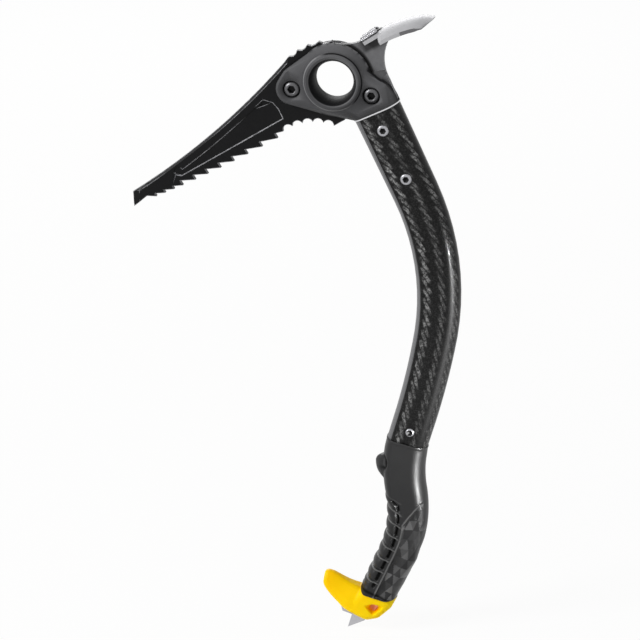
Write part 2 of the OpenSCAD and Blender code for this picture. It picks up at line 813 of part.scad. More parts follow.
module upper_shaft_screws() {
    color("silver") {
        shaft_screw(screw_a_at, screw_head_r);
        shaft_screw(screw_b_at, screw_head_r);
    }
}
module upper_shaft_nuts() {
    color("silver") {
        shaft_nut(screw_a_at, screw_head_r);
        shaft_nut(screw_b_at, screw_head_r);
    }
}
module lower_shaft_screw() {
    color("silver") shaft_screw(screw_c_at, screw_c_r);
}
module lower_shaft_nut() {
    color("silver") shaft_nut(screw_c_at, screw_c_r);
}

module lower_plug() {
    color("lightslategray") difference() {
        skin([for (s = steps(screw_c_at - plug_len / 2, screw_c_at + plug_len / 2 - 2, 2))
            bore_ring(s, glue)]);
        head_bore(spot(screw_c_at)[0], spot(screw_c_at)[1], barrel_small_r + fit);
    }
}

// GRIP

// The joint with the pommel tilts, and sags to both sides. The axis is straight there.
function foot_pt(u, w) = across(joint_at - w, u);
function on_joint(u, v, drop = 0) =
    lift(joint_at + drop - u * tan(joint_tilt) + joint_sag * pow(2 * v / grip_t, 2), u, v);

function grip_w(s) = mix(grip_w_top, grip_w_low, clamp((s - grip_at) / (joint_at - grip_at))) / 2
    - 0.5 * (1 - ease((s - grip_at) / 10));
function grip_th(s) = mix(shaft_t + 1.6, grip_t, ease((s - grip_at) / 30)) / 2;
rib_zone = grip_at + rib_at;
// How much further along the axis the side of a ring lies than its front edge
function shear(s) = s >= joint_at ? 0
    : ease((s - grip_at - 20) / 30) * tan(rib_lean + heading(s))
      * (1 - ease((s - joint_at + 34) / 34)) - 0.35 * ease((s - joint_at + 30) / 30);
function rib(s) = s < rib_zone ? 0 : rib_h * abs(sin(180 * (s - rib_zone) / rib_pitch));
function noise(a, b) = let (x = sin(a * 127.1 + b * 311.7) * 437.58) x - floor(x);
cell = 12;
function facet(s, i) = let (
    c = floor(s / cell),
    f = s / cell - c,
    j = round(i / 2)
) facet_d * mix(noise(c, j), noise(c + 1, j), f);
groove_i = nose_steps + 2;
function grip_pt(s, q, i) = let (
    w = grip_w(s),
    front = i <= groove_i,
    l = norm(q),
    g = s + shear(s) * min(q[0] + w, w),
    in_rib = s > rib_zone ? 1 : 0,
    in_back = g > grip_at + 66 && !front && i > groove_i + 1 ? 1 : 0,
    d = front && i < groove_i ? in_rib * (rib(s) - 0.9)
        : i == groove_i ? -in_rib * groove_d
        : -in_back * facet(g, i + (q[1] < 0 ? 40 : 0)),
    n = max(0, 1 - pow((s - grip_at - nub_at) / (nub_len / 2), 2)),
    k = q[0] < 0 && abs(q[1]) < 6 ? pow(1 - abs(q[1]) / 6, 0.7) : 0,
    e = q * (1 + d / l)
) [g, e[0] - nub_h * sqrt(n) * k, e[1]];
function grip_section(s) = let (h = half_section(grip_w(s), grip_th(s), 0, 0, 6))
    concat([for (i = [0:len(h) - 1]) grip_pt(s, h[i], i)],
        [for (i = [len(h) - 2:-1:1]) grip_pt(s, [h[i][0], -h[i][1]], i)]);
grip_stations = concat(steps(grip_at, rib_zone, 14), steps(rib_zone + 2.5, joint_at - 3, 30));
function grip_ring(s) = [for (p = grip_section(s)) lift(p[0], p[1], p[2])];

module grip_sleeve() {
    color([0.2, 0.2, 0.21]) pipe(
        concat([for (s = grip_stations) grip_ring(s)],
            [[for (q = section(grip_w_low / 2, grip_t / 2, 0, 0, 6)) on_joint(q[0], q[1])]]),
        concat([for (s = concat(steps(grip_at, grip_at + step_len, 3),
                    steps(grip_at + core_at, joint_at - pin_up[0], 9)))
                place(s, section(tube_w(s) + glue, tube_t(s) + glue, 0))],
            [[for (q = section(core_w / 2 + glue, core_t / 2 + glue, 0)) on_joint(q[0], q[1])]])
    );
}

// FOOT

module tongue_2d(gap, w, s0, s1) {
    polygon(concat(
        [for (s = steps(s0 - gap, s1 + gap, 8)) across(s, -w / 2 - gap)],
        [for (s = steps(s1 + gap, s0 - gap, 8)) across(s, w / 2 + gap)]
    ));
}
tang_at = tube_end - insert_len + 6;
spike_tang_w = 10;

module foot_insert() {
    color("lightslategray") difference() {
        union() {
            skin([for (s = steps(tube_end - insert_len, tube_end, 5)) bore_ring(s, glue)]);
            plate(tongue_t) tongue_2d(0, tongue_w, tube_end - 2, tongue_end);
        }
        plate(spike_t + 2 * fit) tongue_2d(fit, spike_tang_w, tang_at, tongue_end + 4);
        for (s = pin_spots)
            head_bore(spot(s)[0], spot(s)[1], pin_d / 2 + fit);
    }
}
// Distances of the pins above the end of the tube
pin_up = [22, 8];
pin_spots = [for (up = pin_up) tube_end - up];

// How far the middle and the lowest point of the round bottom of the pommel lie below the joint
pommel_mid = 14;
pommel_low = pommel_mid + pommel_r;
// Outline of the spike below the joint, from its tang round the two points
spike_outline = [
    [-5, -1], [-16, -6.5], [-22.7, -14.6], [-24.5, -25.2], [-23.6, -27.1], [-20.2, -31.4],
    [-11.8, -30.4], [-10.2, -pommel_low - spike_drop], [0, -30.7], [1.6, -22.3],
    [-3.1, -17.9], [-4.6, -12], [-2.6, -8], [5, -6]
];
module spike_2d() {
    union() {
        tongue_2d(0, spike_tang_w, tang_at, tongue_end);
        polygon([for (q = spike_outline) foot_pt(q[0], q[1])]);
    }
}
module spike() {
    color("lightgray") difference() {
        plate(spike_t) spike_2d();
        for (s = pin_spots)
            head_bore(spot(s)[0], spot(s)[1], pin_d / 2 + fit);
    }
}
module spike_slot_2d() {
    offset(delta = fit) union() {
        spike_2d();
        polygon([for (q = [[-24.5, -25.2], [-26, -60], [4, -60], [1.6, -22.3]])
            foot_pt(q[0], q[1])]);
    }
}

module spike_pins() {
    color("silver") for (s = pin_spots)
        facing(spot(s)[0], spot(s)[1])
            cylinder(h = core_t - 2 * shaft_wall - 2, d = pin_d, center = true);
}

// Discs that make the round bottom of the pommel: place and radius
pommel_discs = [[-9, -pommel_low + 10.5, 10], [-2, -pommel_low + 8.5, 8],
    [1.3, -14.2, 10.2], [5.5, -5, 9.8]];
leash_u = 1.8;
leash_w = -13.6;
// Finger rest, from its tip to the body: place of its top, top, bottom, half thickness, lean,
// and the power that makes its section full
rest_rows = [
    [-48, -6.4, -14.8, 0.7, 0.32, 1], [-47.4, -4.6, -16.6, 0.84, 0.32, 1],
    [-45.6, -3.3, -18.5, 0.93, 0.32, 1], [-41.5, -2.5, -21, 1, 0.29, 1],
    [-36.5, -2.8, -22.8, 1.08, 0.24, 0.95], [-31, -3.4, -24.2, 1.17, 0.18, 0.85],
    [-25.5, -3.8, -25.5, 1.27, 0.1, 0.7], [-20.5, -3.6, -26.2, 1.36, 0.03, 0.6],
    [-14, -3, -26.6, 1.41, 0, 0.5], [-5, -4, -25.6, 1.41, 0, 0.4]
];
// One side of a section of the rest: share of its height and of its half thickness
rest_side = [
    [1, 0.14], [0.985, 0.28], [0.9, 0.47], [0.74, 0.68], [0.54, 0.87],
    [0.34, 0.99], [0.18, 0.97], [0.06, 0.83], [0, 0.56]
];
function rest_pt(q, e, side) = let (w = mix(q[2], q[1], e[0]))
    lift(joint_at - w, q[0] + q[4] * (q[1] - w), side * q[3] * pow(e[1], q[5]) * rest_t / 2);
function rest_ring(q) = concat([for (e = rest_side) rest_pt(q, e, -1)],
    [for (i = [len(rest_side) - 1:-1:0]) rest_pt(q, rest_side[i], 1)]);

// A disc with a rounded rim, its axis along Y
module soft_disc(p, r, t, edge) {
    facing(p[0], p[1]) rotate_extrude($fn = 32) union() {
        for (side = [-1, 1]) polygon(concat([[0, 0]],
            [for (a = [0:22.5:90])
                [r - edge + edge * cos(a), side * (t / 2 - edge + edge * sin(a))]],
            [[0, side * t / 2]]));
    }
}
module pommel_body() {
    hull() {
        skin([for (d = [fit, 1.5])
            [for (q = section(grip_w_low / 2, pommel_t / 2, 0, 0, 6)) on_joint(q[0], q[1], d)]]);
        for (q = pommel_discs) soft_disc(foot_pt(q[0], q[1]), q[2], pommel_t - 1, 6);
    }
    skin([for (q = rest_rows) rest_ring(q)]);
}
// Mouth of the leash hole, wide at the face and round inside
leash_mouth = [[-6, -14.2], [0, -9.3], [9.6, -7], [4.4, -19.2]];
mouth_in = 5;
module flare(side) {
    hull() {
        translate([0, side * (pommel_t / 2 + 1), 0]) plate(0.5)
            polygon([for (q = leash_mouth) foot_pt(q[0], q[1])]);
        translate([0, side * (pommel_t / 2 - mouth_in), 0]) plate(0.5)
            translate(foot_pt(leash_u, leash_w)) circle(r = leash_r + 0.3, $fn = 32);
    }
}

// All that lies above the joint
module over_joint() {
    v_steps = [-20, -14, -10, -6, 0, 6, 10, 14, 20];
    rows = [for (d = [-20, fit]) concat([for (v = v_steps) on_joint(-18, v, d)],
        [for (i = [len(v_steps) - 1:-1:0]) on_joint(40, v_steps[i], d)])];
    skin(rows);
}

module pommel() {
    leash = foot_pt(leash_u, leash_w);
    color("gold") difference() {
        pommel_body();
        over_joint();
        plate(tongue_t + 2 * fit) tongue_2d(fit, tongue_w, tube_end, tongue_end);
        plate(spike_t + 2 * fit) spike_slot_2d();
        head_bore(leash[0], leash[1], leash_r);
        for (side = [-1, 1]) flare(side);
    }
}

head_forging();
head_collar();
pick();
adze_mount();
adze_blade();
adze_welds();
pick_bolt();
pick_bolt_nut();
adze_bolt();
adze_bolt_nut();
shaft_tube();
shaft_strip();
upper_shaft_screws();
upper_shaft_nuts();
lower_shaft_screw();
lower_shaft_nut();
lower_plug();
grip_sleeve();
foot_insert();
spike();
spike_pins();
pommel();
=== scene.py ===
import math

import bmesh
import bpy
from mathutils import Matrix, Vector


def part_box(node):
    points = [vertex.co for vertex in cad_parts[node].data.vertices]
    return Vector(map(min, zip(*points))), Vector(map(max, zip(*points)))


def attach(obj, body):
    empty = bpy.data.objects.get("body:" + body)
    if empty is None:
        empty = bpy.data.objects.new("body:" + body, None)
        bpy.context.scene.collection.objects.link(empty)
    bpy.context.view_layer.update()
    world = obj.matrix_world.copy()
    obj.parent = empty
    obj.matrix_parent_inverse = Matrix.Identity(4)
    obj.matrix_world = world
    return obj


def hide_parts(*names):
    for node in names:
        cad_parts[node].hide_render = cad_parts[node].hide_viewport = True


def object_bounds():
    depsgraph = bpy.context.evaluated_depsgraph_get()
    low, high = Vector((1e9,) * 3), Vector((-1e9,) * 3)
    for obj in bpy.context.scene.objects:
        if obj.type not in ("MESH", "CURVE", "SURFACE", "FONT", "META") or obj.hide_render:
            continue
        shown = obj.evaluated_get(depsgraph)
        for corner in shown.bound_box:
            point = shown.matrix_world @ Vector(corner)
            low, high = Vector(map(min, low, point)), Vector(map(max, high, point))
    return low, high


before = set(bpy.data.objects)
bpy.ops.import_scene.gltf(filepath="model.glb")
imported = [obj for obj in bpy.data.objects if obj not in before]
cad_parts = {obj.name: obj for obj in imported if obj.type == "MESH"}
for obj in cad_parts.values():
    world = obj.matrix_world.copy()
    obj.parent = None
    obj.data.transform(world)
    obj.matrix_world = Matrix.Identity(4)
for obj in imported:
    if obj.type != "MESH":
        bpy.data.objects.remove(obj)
cad_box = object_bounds()
bpy.ops.object.select_all(action="DESELECT")

# ---------------------------------------------------------------- STUDIO
# A wide pale floor under the spike and a white surround, as in a catalogue picture.
# The floor and the surround show white to the lens and in polished metal, and light the
# tool at a plain level. The floor keeps the shadow of the tool.


def linear(hex_colour):
    """An sRGB hex colour as the linear RGBA that a socket takes."""
    parts = [int(hex_colour[i:i + 2], 16) / 255 for i in (1, 3, 5)]
    return [p / 12.92 if p <= 0.04045 else ((p + 0.055) / 1.055) ** 2.4 for p in parts] + [1.0]


def add(tree, kind, values=None, links=None, **settings):
    """A node with its settings, the values of its sockets, and what feeds them: a socket, or
    a node for its first output. A Mix of colours has its share on 0, its colours on 6 and 7."""
    node = tree.nodes.new(kind)
    for name, value in settings.items():
        setattr(node, name, value)
    for socket, value in (values or {}).items():
        node.inputs[socket].default_value = value
    for socket, source in (links or {}).items():
        tree.links.new(getattr(source, "outputs", [source])[0], node.inputs[socket])
    return node


def blank_material(name):
    material = bpy.data.materials.new(name)
    material.use_nodes = True
    material.node_tree.nodes.clear()
    return material, material.node_tree


bpy.ops.mesh.primitive_plane_add(size=14, location=(0, 0, cad_box[0][2] - 0.0005))
floor = bpy.context.object
floor.name = "studio_floor"
floor_white, tree = blank_material("painted_studio_floor")
path = add(tree, "ShaderNodeLightPath")
seen = add(tree, "ShaderNodeMath", operation="MAXIMUM",
           links={0: path.outputs["Is Camera Ray"], 1: path.outputs["Is Glossy Ray"]})
# to the lens the floor is 94% even white, and 6% lit paint, which keeps the shadow
share = add(tree, "ShaderNodeMath", {1: 0.94}, {0: seen}, operation="MULTIPLY")
dust = add(tree, "ShaderNodeTexNoise", {"Scale": 3.0})
paint = add(tree, "ShaderNodeMix", {6: linear("#EFEFED"), 7: linear("#F6F6F5")},
            {0: dust}, data_type="RGBA")
matt = add(tree, "ShaderNodeBsdfDiffuse", links={"Color": paint.outputs[2]})
glow = add(tree, "ShaderNodeEmission", {"Strength": 1.0})
blend = add(tree, "ShaderNodeMixShader", links={0: share, 1: matt, 2: glow})
add(tree, "ShaderNodeOutputMaterial", links={"Surface": blend})
floor.data.materials.append(floor_white)

world = bpy.data.worlds.new("white_surround")
bpy.context.scene.world = world
world.use_nodes = True
tree = world.node_tree
tree.nodes.clear()
path = add(tree, "ShaderNodeLightPath")
seen = add(tree, "ShaderNodeMath", operation="MAXIMUM",
           links={0: path.outputs["Is Camera Ray"], 1: path.outputs["Is Glossy Ray"]})
seen = add(tree, "ShaderNodeMath", operation="MAXIMUM",
           links={0: seen, 1: path.outputs["Is Transmission Ray"]})
level = add(tree, "ShaderNodeMapRange", {"To Min": 0.3, "To Max": 1.0}, {"Value": seen})
sky = add(tree, "ShaderNodeBackground", {"Color": (1, 1, 1, 1)}, {"Strength": level})
add(tree, "ShaderNodeOutputWorld", links={"Surface": sky})

MIDDLE = Vector((-0.002, 0.0, -0.22))


def aim(lamp, place, target):
    lamp.rotation_euler = (Vector(place) - Vector(target)).to_track_quat("Z", "Y").to_euler()


def soft_lamp(name, place, size, power):
    bpy.ops.object.light_add(type="AREA", location=place)
    lamp = bpy.context.object
    lamp.name = name
    lamp.data.shape = "SQUARE"
    lamp.data.size = size
    lamp.data.energy = power
    aim(lamp, place, MIDDLE)


soft_lamp("key_softbox", (-2.0, -1.5, 1.3), 1.0, 68)
soft_lamp("back_softbox", (-0.6, 2.2, 0.8), 1.2, 16)

# A snooted lamp from the right draws a soft streak down the smooth part of the grip. It
# lights no colour: it shows only in the gloss of the rubber and the resin.
bpy.ops.object.light_add(type="SPOT", location=(1.58, -1.02, -0.45))
snoot = bpy.context.object
snoot.name = "snooted_side_lamp"
snoot.data.energy = 5000
snoot.data.shadow_soft_size = 0.12
snoot.data.spot_size = math.radians(6.5)
snoot.data.spot_blend = 1.0
snoot.visible_diffuse = False
aim(snoot, snoot.location, (0.06, 0, -0.31))

# The lens stands 3 m off, 10 degrees to the right of the tool and 18.5 degrees up.
LENS_DISTANCE = 3.0
PICTURE_CENTRE = Vector((-0.001237, -0.062848, -0.184338))
across, up = math.radians(10), math.radians(18.5)
sight = Vector((math.sin(across) * math.cos(up), -math.cos(across) * math.cos(up), math.sin(up)))
bpy.ops.object.camera_add(location=PICTURE_CENTRE + LENS_DISTANCE * sight,
                          rotation=sight.to_track_quat("Z", "Y").to_euler())
lens = bpy.context.object
lens.name = "catalogue_camera"
lens.data.sensor_width = 36
lens.data.lens = 209.63
lens.data.clip_end = 100
bpy.context.scene.camera = lens
bpy.context.scene.view_settings.view_transform = "Standard"

# ---------------------------------------------------------------- HEAD FORGING
# Hot-forged aluminium: two cheeks, the ring round the eye and the neck in one piece,
# bead blasted and anodised dark grey. The lip of the eye has a painted highlight.


def take(*pieces):
    """Selects these pieces and nothing else. The first is the active one."""
    bpy.ops.object.select_all(action="DESELECT")
    for piece in pieces:
        piece.select_set(True)
    bpy.context.view_layer.objects.active = pieces[0]


def finished_copy(node, angle=30):
    """A copy of a CAD node with one skin and smooth shading, which is shown in its place."""
    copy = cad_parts[node].copy()
    copy.data = copy.data.copy()
    copy.name = node + "_finish"
    bpy.context.collection.objects.link(copy)
    take(copy)
    bpy.ops.object.mode_set(mode="EDIT")
    bpy.ops.mesh.select_all(action="SELECT")
    bpy.ops.mesh.remove_doubles(threshold=0.00001)
    bpy.ops.object.mode_set(mode="OBJECT")
    bpy.ops.object.shade_smooth_by_angle(angle=math.radians(angle))
    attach(copy, "root")
    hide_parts(node)
    return copy


def dress(thing, material):
    thing.data.materials.clear()
    thing.data.materials.append(material)


def new_finish(name):
    """An empty material, its nodes, and each point's place on the tool."""
    material, tree = blank_material(name)
    return material, tree, add(tree, "ShaderNodeTexCoord").outputs["Object"]


def mottle(tree, place, scale, detail, dark, pale, **fine):
    """A fine pattern that runs between two tones: its value, and the tone."""
    grain = add(tree, "ShaderNodeTexNoise", {"Scale": scale, "Detail": detail, **fine},
                {"Vector": place})
    tone = add(tree, "ShaderNodeMix", {6: linear(dark), 7: linear(pale)}, {0: grain},
               data_type="RGBA")
    return grain, tone.outputs[2]


def edge_highlight(tree, radius, start, full):
    """The normal with its edges rounded, and a mask that is 1 on the edges, where a highlight is
    painted.
    """
    soft = add(tree, "ShaderNodeBevel", {"Radius": radius}, samples=6)
    sharp = add(tree, "ShaderNodeNewGeometry")
    alike = add(tree, "ShaderNodeVectorMath",
                links={0: soft, 1: sharp.outputs["Normal"]}, operation="DOT_PRODUCT")
    mask = add(tree, "ShaderNodeMapRange", {"From Min": start, "From Max": full},
               {"Value": alike.outputs["Value"]})
    return soft, mask


def shaded_corners(tree, tone, shade_tone, distance, start, full):
    """The tone, with painted shade where the piece is hollow over this distance."""
    hollow = add(tree, "ShaderNodeAmbientOcclusion", {"Distance": distance}, samples=8)
    open_to_light = add(tree, "ShaderNodeMapRange", {"From Min": start, "From Max": full},
                {"Value": hollow.outputs["AO"]})
    return add(tree, "ShaderNodeMix", {6: linear(shade_tone)}, {0: open_to_light, 7: tone},
               data_type="RGBA").outputs[2]


def from_eye(tree, place):
    """Each point's distance from the axis of the eye."""
    flat = add(tree, "ShaderNodeVectorMath", {1: (1.0, 0.0, 1.0)}, {0: place},
               operation="MULTIPLY")
    return add(tree, "ShaderNodeVectorMath", links={0: flat}, operation="LENGTH").outputs["Value"]


def rise(tree, place, direction, start, full, top=1.0):
    """A mask that rises from 0 to top between two distances along a direction."""
    far = add(tree, "ShaderNodeVectorMath", {1: direction}, {0: place}, operation="DOT_PRODUCT")
    return add(tree, "ShaderNodeMapRange", {"From Min": start, "From Max": full, "To Max": top},
               {"Value": far.outputs["Value"]})


def line_at(tree, distance, at, start, full, top=1.0):
    """A mask that goes from 0 to top between two distances from a line."""
    off = add(tree, "ShaderNodeMath", {1: at}, {0: distance}, operation="SUBTRACT")
    away = add(tree, "ShaderNodeMath", links={0: off}, operation="ABSOLUTE")
    return add(tree, "ShaderNodeMapRange", {"From Min": start, "From Max": full, "To Max": top},
               {"Value": away})


def surface(tree, values, links):
    """The shader of a finish, on the output of its material."""
    shader = add(tree, "ShaderNodeBsdfPrincipled", values, links)
    add(tree, "ShaderNodeOutputMaterial", links={"Surface": shader})


# dark anodised aluminium: matt charcoal, with painted highlights on its lip and edges and painted
# shade in its hollows
anodised, tree, place = new_finish("blasted_anodised_aluminium")
# bead blasting: pits of about 0.4 mm, which turn the metal matt
pits = add(tree, "ShaderNodeTexNoise", {"Scale": 2200.0, "Detail": 3.0}, {"Vector": place})
grey = mottle(tree, place, 60.0, 3.0, "#3C3C3E", "#4A4A4C")[1]
# painted light: the upper rim, whose slopes face away from the key lamp, is painted lighter
# towards the upper right
painted_rim_light = rise(tree, place, (0.6, 0.0, 0.8), 0.008, 0.024, 0.7)
grey = add(tree, "ShaderNodeMix", {7: linear("#68686A")}, {0: painted_rim_light, 6: grey}, data_type="RGBA")
# painted shade in the corners
lit_and_shaded_grey = shaded_corners(tree, grey.outputs[2], "#161617", 0.007, 0.2, 0.68)
rounded, edge = edge_highlight(tree, 0.0005, 0.97, 0.86)
# the lip of the eye, 19.9 mm from its axis, gets a painted highlight on both faces
reach = from_eye(tree, place)
lip = line_at(tree, reach, 0.0199, 0.0005, 0.0001, 0.12)
axes = add(tree, "ShaderNodeSeparateXYZ", links={0: place})
depth = add(tree, "ShaderNodeMath", links={0: axes.outputs["Y"]}, operation="ABSOLUTE")
outside = add(tree, "ShaderNodeMath", {1: 0.0132}, {0: depth}, operation="GREATER_THAN")
lip = add(tree, "ShaderNodeMath", links={0: lip, 1: outside}, operation="MULTIPLY")
# the ring stands out of the cheek by a fine step, with a painted highlight on its lit side,
# towards the pick, and painted shade on its shadow side, towards the shaft
step = line_at(tree, reach, 0.0237, 0.0007, 0.0002)
toward = rise(tree, place, (-0.85, 0.0, -0.53), -0.008, 0.002)
painted_light = add(tree, "ShaderNodeMath", links={0: step, 1: toward}, operation="MULTIPLY")
painted_light = add(tree, "ShaderNodeMath", {1: 0.35}, {0: painted_light}, operation="MULTIPLY")
foot = add(tree, "ShaderNodeMath", links={0: step, 1: toward}, operation="SUBTRACT",
           use_clamp=True)
# the other edges get a faint painted highlight, broken up here and there
edge_patches = add(tree, "ShaderNodeTexNoise", {"Scale": 180.0, "Detail": 4.0}, {"Vector": place})
faint = add(tree, "ShaderNodeMath", links={0: edge, 1: edge_patches}, operation="MULTIPLY")
faint = add(tree, "ShaderNodeMath", {1: 0.5}, {0: faint}, operation="MULTIPLY")
# all the painted highlights of the head: the lip, the lit side of the step and the edges
painted_highlight = lip
for mark in (faint, painted_light):
    painted_highlight = add(tree, "ShaderNodeMath", links={0: painted_highlight, 1: mark}, operation="MAXIMUM")
# inside the lip, from 19.5 to 19.1 mm, the throat of the eye is painted dark as shade
throat = add(tree, "ShaderNodeMapRange",
             {"From Min": 0.0195, "From Max": 0.0191, "To Max": 0.92}, {"Value": reach})
# and outside the ring the side walls of the cheeks are painted dark as shade
facing = add(tree, "ShaderNodeNewGeometry")
facing = add(tree, "ShaderNodeSeparateXYZ", links={0: facing.outputs["Normal"]})
facing = add(tree, "ShaderNodeMath", links={0: facing.outputs["Y"]}, operation="ABSOLUTE")
wall = add(tree, "ShaderNodeMapRange",
           {"From Min": 0.55, "From Max": 0.3, "To Max": 0.8}, {"Value": facing})
beyond = add(tree, "ShaderNodeMapRange", {"From Min": 0.0215, "From Max": 0.022}, {"Value": reach})
unlit = add(tree, "ShaderNodeMath", links={0: wall, 1: beyond}, operation="MULTIPLY")
# the painted shade: the side walls, the throat and the shadow side of the step
for dark in (throat, foot):
    unlit = add(tree, "ShaderNodeMath", links={0: unlit, 1: dark}, operation="MAXIMUM")
# painted shade, then painted highlights, over the grey
for mask, tone in ((unlit, "#0E0E0F"), (painted_highlight, "#A8A8AA")):
    lit_and_shaded_grey = add(tree, "ShaderNodeMix", {7: linear(tone)}, {0: mask, 6: lit_and_shaded_grey},
                data_type="RGBA").outputs[2]
skin = add(tree, "ShaderNodeBump", {"Strength": 0.2, "Distance": 0.0002},
           {"Height": pits, "Normal": rounded})
# the gloss is turned down where shade is painted
sheen = add(tree, "ShaderNodeMapRange", {"To Min": 0.25, "To Max": 0.06}, {"Value": unlit})
surface(tree, {"Metallic": 0.1, "Roughness": 0.55},
        {"Base Color": lit_and_shaded_grey, "Normal": skin,
         "Specular IOR Level": sheen})

head = finished_copy("head_forging")
# The eye: its flare is turned again as one smooth curve, from the throat to the lip
MM = 0.001
THROAT_WITHIN, FLARE_WITHIN, FLARE_BEYOND = 16.7 * MM, 21.65 * MM, 8 * MM
FACE_AT = 14.5 * MM
bpy.ops.object.mode_set(mode="EDIT")
bpy.ops.mesh.select_all(action="DESELECT")
cut = bmesh.from_edit_mesh(head.data)
for face in cut.faces:
    reach = max(math.hypot(v.co.x, v.co.z) for v in face.verts)
    depth = min(abs(v.co.y) for v in face.verts)
    face.select = reach < THROAT_WITHIN or (reach < FLARE_WITHIN and depth > FLARE_BEYOND)
bmesh.update_edit_mesh(head.data)
bpy.ops.mesh.delete(type="FACE")
bpy.ops.object.mode_set(mode="OBJECT")

# Half of the flare's profile: distance from the axis, distance from the middle
flare = [(15.7, 0.0), (15.7, 2.5), (15.85, 4.6), (16.25, 7.0), (16.95, 9.4), (17.9, 11.6),
         (19.0, 13.3), (19.6, 14.0), (20.05, 14.35), (20.6, 14.5), (21.45, 14.5)]
profile = [(r, -y) for r, y in reversed(flare)] + flare[1:]
turned = bpy.data.meshes.new("eye_flare")
turned.from_pydata([(r * MM, y * MM, 0) for r, y in profile],
                   [(i, i + 1) for i in range(len(profile) - 1)], [])
eye = bpy.data.objects.new("eye_flare", turned)
bpy.context.collection.objects.link(eye)
take(eye)
bpy.ops.object.mode_set(mode="EDIT")
bpy.ops.mesh.select_all(action="SELECT")
bpy.ops.mesh.spin(steps=128, angle=2 * math.pi, center=(0, 0, 0), axis=(0, 1, 0))
bpy.ops.mesh.select_all(action="SELECT")
bpy.ops.mesh.remove_doubles(threshold=0.00001)
bpy.ops.mesh.normals_make_consistent(inside=False)
bpy.ops.object.mode_set(mode="OBJECT")
middle = min(eye.data.polygons, key=lambda p: abs(p.center.y))
if middle.normal.dot(Vector((middle.center.x, 0, middle.center.z))) > 0:
    eye.data.flip_normals()

# The flare joins the forging: each open rim is bridged to the rim cut in the face
take(head, eye)
bpy.ops.object.join()
for side in (-1, 1):
    bpy.ops.object.mode_set(mode="EDIT")
    bpy.ops.mesh.select_mode(type="EDGE")
    bpy.ops.mesh.select_all(action="DESELECT")
    rims = bmesh.from_edit_mesh(head.data)
    for edge in rims.edges:
        edge.select = edge.is_boundary and all(
            side * v.co.y > FACE_AT - 0.1 * MM
            and math.hypot(v.co.x, v.co.z) < FLARE_WITHIN + 0.15 * MM for v in edge.verts)
    bmesh.update_edit_mesh(head.data)
    bpy.ops.mesh.bridge_edge_loops()
    bpy.ops.mesh.select_mode(type="VERT")
    bpy.ops.object.mode_set(mode="OBJECT")
bpy.ops.object.shade_smooth_by_angle(angle=math.radians(28))
dress(head, anodised)

# ---------------------------------------------------------------- COLLAR
# A thin aluminium ring, turned and left bright, bonded between the neck of the head and the
# end of the carbon tube. It shows as one bright line.
bright, tree, place = new_finish("bright_turned_aluminium")
rings = add(tree, "ShaderNodeTexNoise", {"Scale": 900.0}, {"Vector": place})
rough = add(tree, "ShaderNodeMapRange", {"To Min": 0.25, "To Max": 0.4}, {"Value": rings})
surface(tree, {"Base Color": linear("#D6D6D8"), "Metallic": 1.0}, {"Roughness": rough})
dress(finished_copy("head_collar"), bright)

# ---------------------------------------------------------------- PICK
# A 4 mm plate of chrome-molybdenum steel, cut to its teeth, bevelled along the back and
# milled in the sides, then coated gloss black. Its sharp edges get a painted highlight.
coated, tree, place = new_finish("black_powder_coat")
# the coat flows to a peel of about 2 mm
peel, black = mottle(tree, place, 420.0, 2.0, "#0E0E0F", "#171718")
rounded, edge = edge_highlight(tree, 0.0008, 0.997, 0.982)
# the painted edge highlight is left off the upper border of the milled recess, 21.6 mm
# across the pick from the eye
PICK_ALONG, PICK_ACROSS = (0.7696, 0.0, 0.6386), (-0.6386, 0.0, 0.7696)
border = add(tree, "ShaderNodeVectorMath", {1: PICK_ACROSS}, {0: place}, operation="DOT_PRODUCT")
border = line_at(tree, border.outputs["Value"], 0.0216, 0.0018, 0.0026)
lengthwise = rise(tree, place, PICK_ALONG, -0.068, -0.064)
off_upper_border = add(tree, "ShaderNodeMath", links={0: border, 1: lengthwise}, operation="MAXIMUM")
# the painted highlight on the edges is broken up in patches, like chips in the coat
patch_noise = add(tree, "ShaderNodeTexNoise", {"Scale": 260.0, "Detail": 5.0}, {"Vector": place})
patchy = add(tree, "ShaderNodeMapRange",
              {"From Min": 0.35, "From Max": 0.62, "To Min": 0.35}, {"Value": patch_noise})
painted_highlight = add(tree, "ShaderNodeMath", links={0: edge, 1: patchy}, operation="MULTIPLY")
painted_highlight = add(tree, "ShaderNodeMath", links={0: painted_highlight, 1: off_upper_border}, operation="MULTIPLY", use_clamp=True)
colour = add(tree, "ShaderNodeMix", {7: linear("#B8B8BC")}, {0: painted_highlight, 6: black}, data_type="RGBA")
skin = add(tree, "ShaderNodeBump", {"Strength": 0.1, "Distance": 0.0002},
           {"Height": peel, "Normal": rounded})
surface(tree, {"Roughness": 0.3, "Specular IOR Level": 0.1},
        {"Base Color": colour.outputs[2], "Normal": skin})
dress(finished_copy("pick", 15), coated)

# ---------------------------------------------------------------- ADZE MOUNT
# The steel plate that carries the adze, bolted in the rear of the slot. It is flame cut, left
# with its rolled skin, and coated a dull grey.
plate_grey, tree, place = new_finish("grey_rolled_steel")
scale, grey = mottle(tree, place, 260.0, 5.0, "#5C5C5E", "#747476", Roughness=0.7)
# painted shade darkens the plate where it is hollow, beside the root of the blade
tone = shaded_corners(tree, grey, "#1C1C1E", 0.009, 0.42, 0.82)
# below the root of the blade, the blade's painted shadow: a dark band about 4 mm wide
ROOT_ALONG, ROOT_ACROSS = (0.8729, 0.0, 0.4879), (-0.4879, 0.0, 0.8729)
above = rise(tree, place, ROOT_ACROSS, 0.0066, 0.0094, 0.85)
beyond = rise(tree, place, ROOT_ALONG, 0.03, 0.035)
blade_shadow = add(tree, "ShaderNodeMath", links={0: above, 1: beyond}, operation="MULTIPLY")
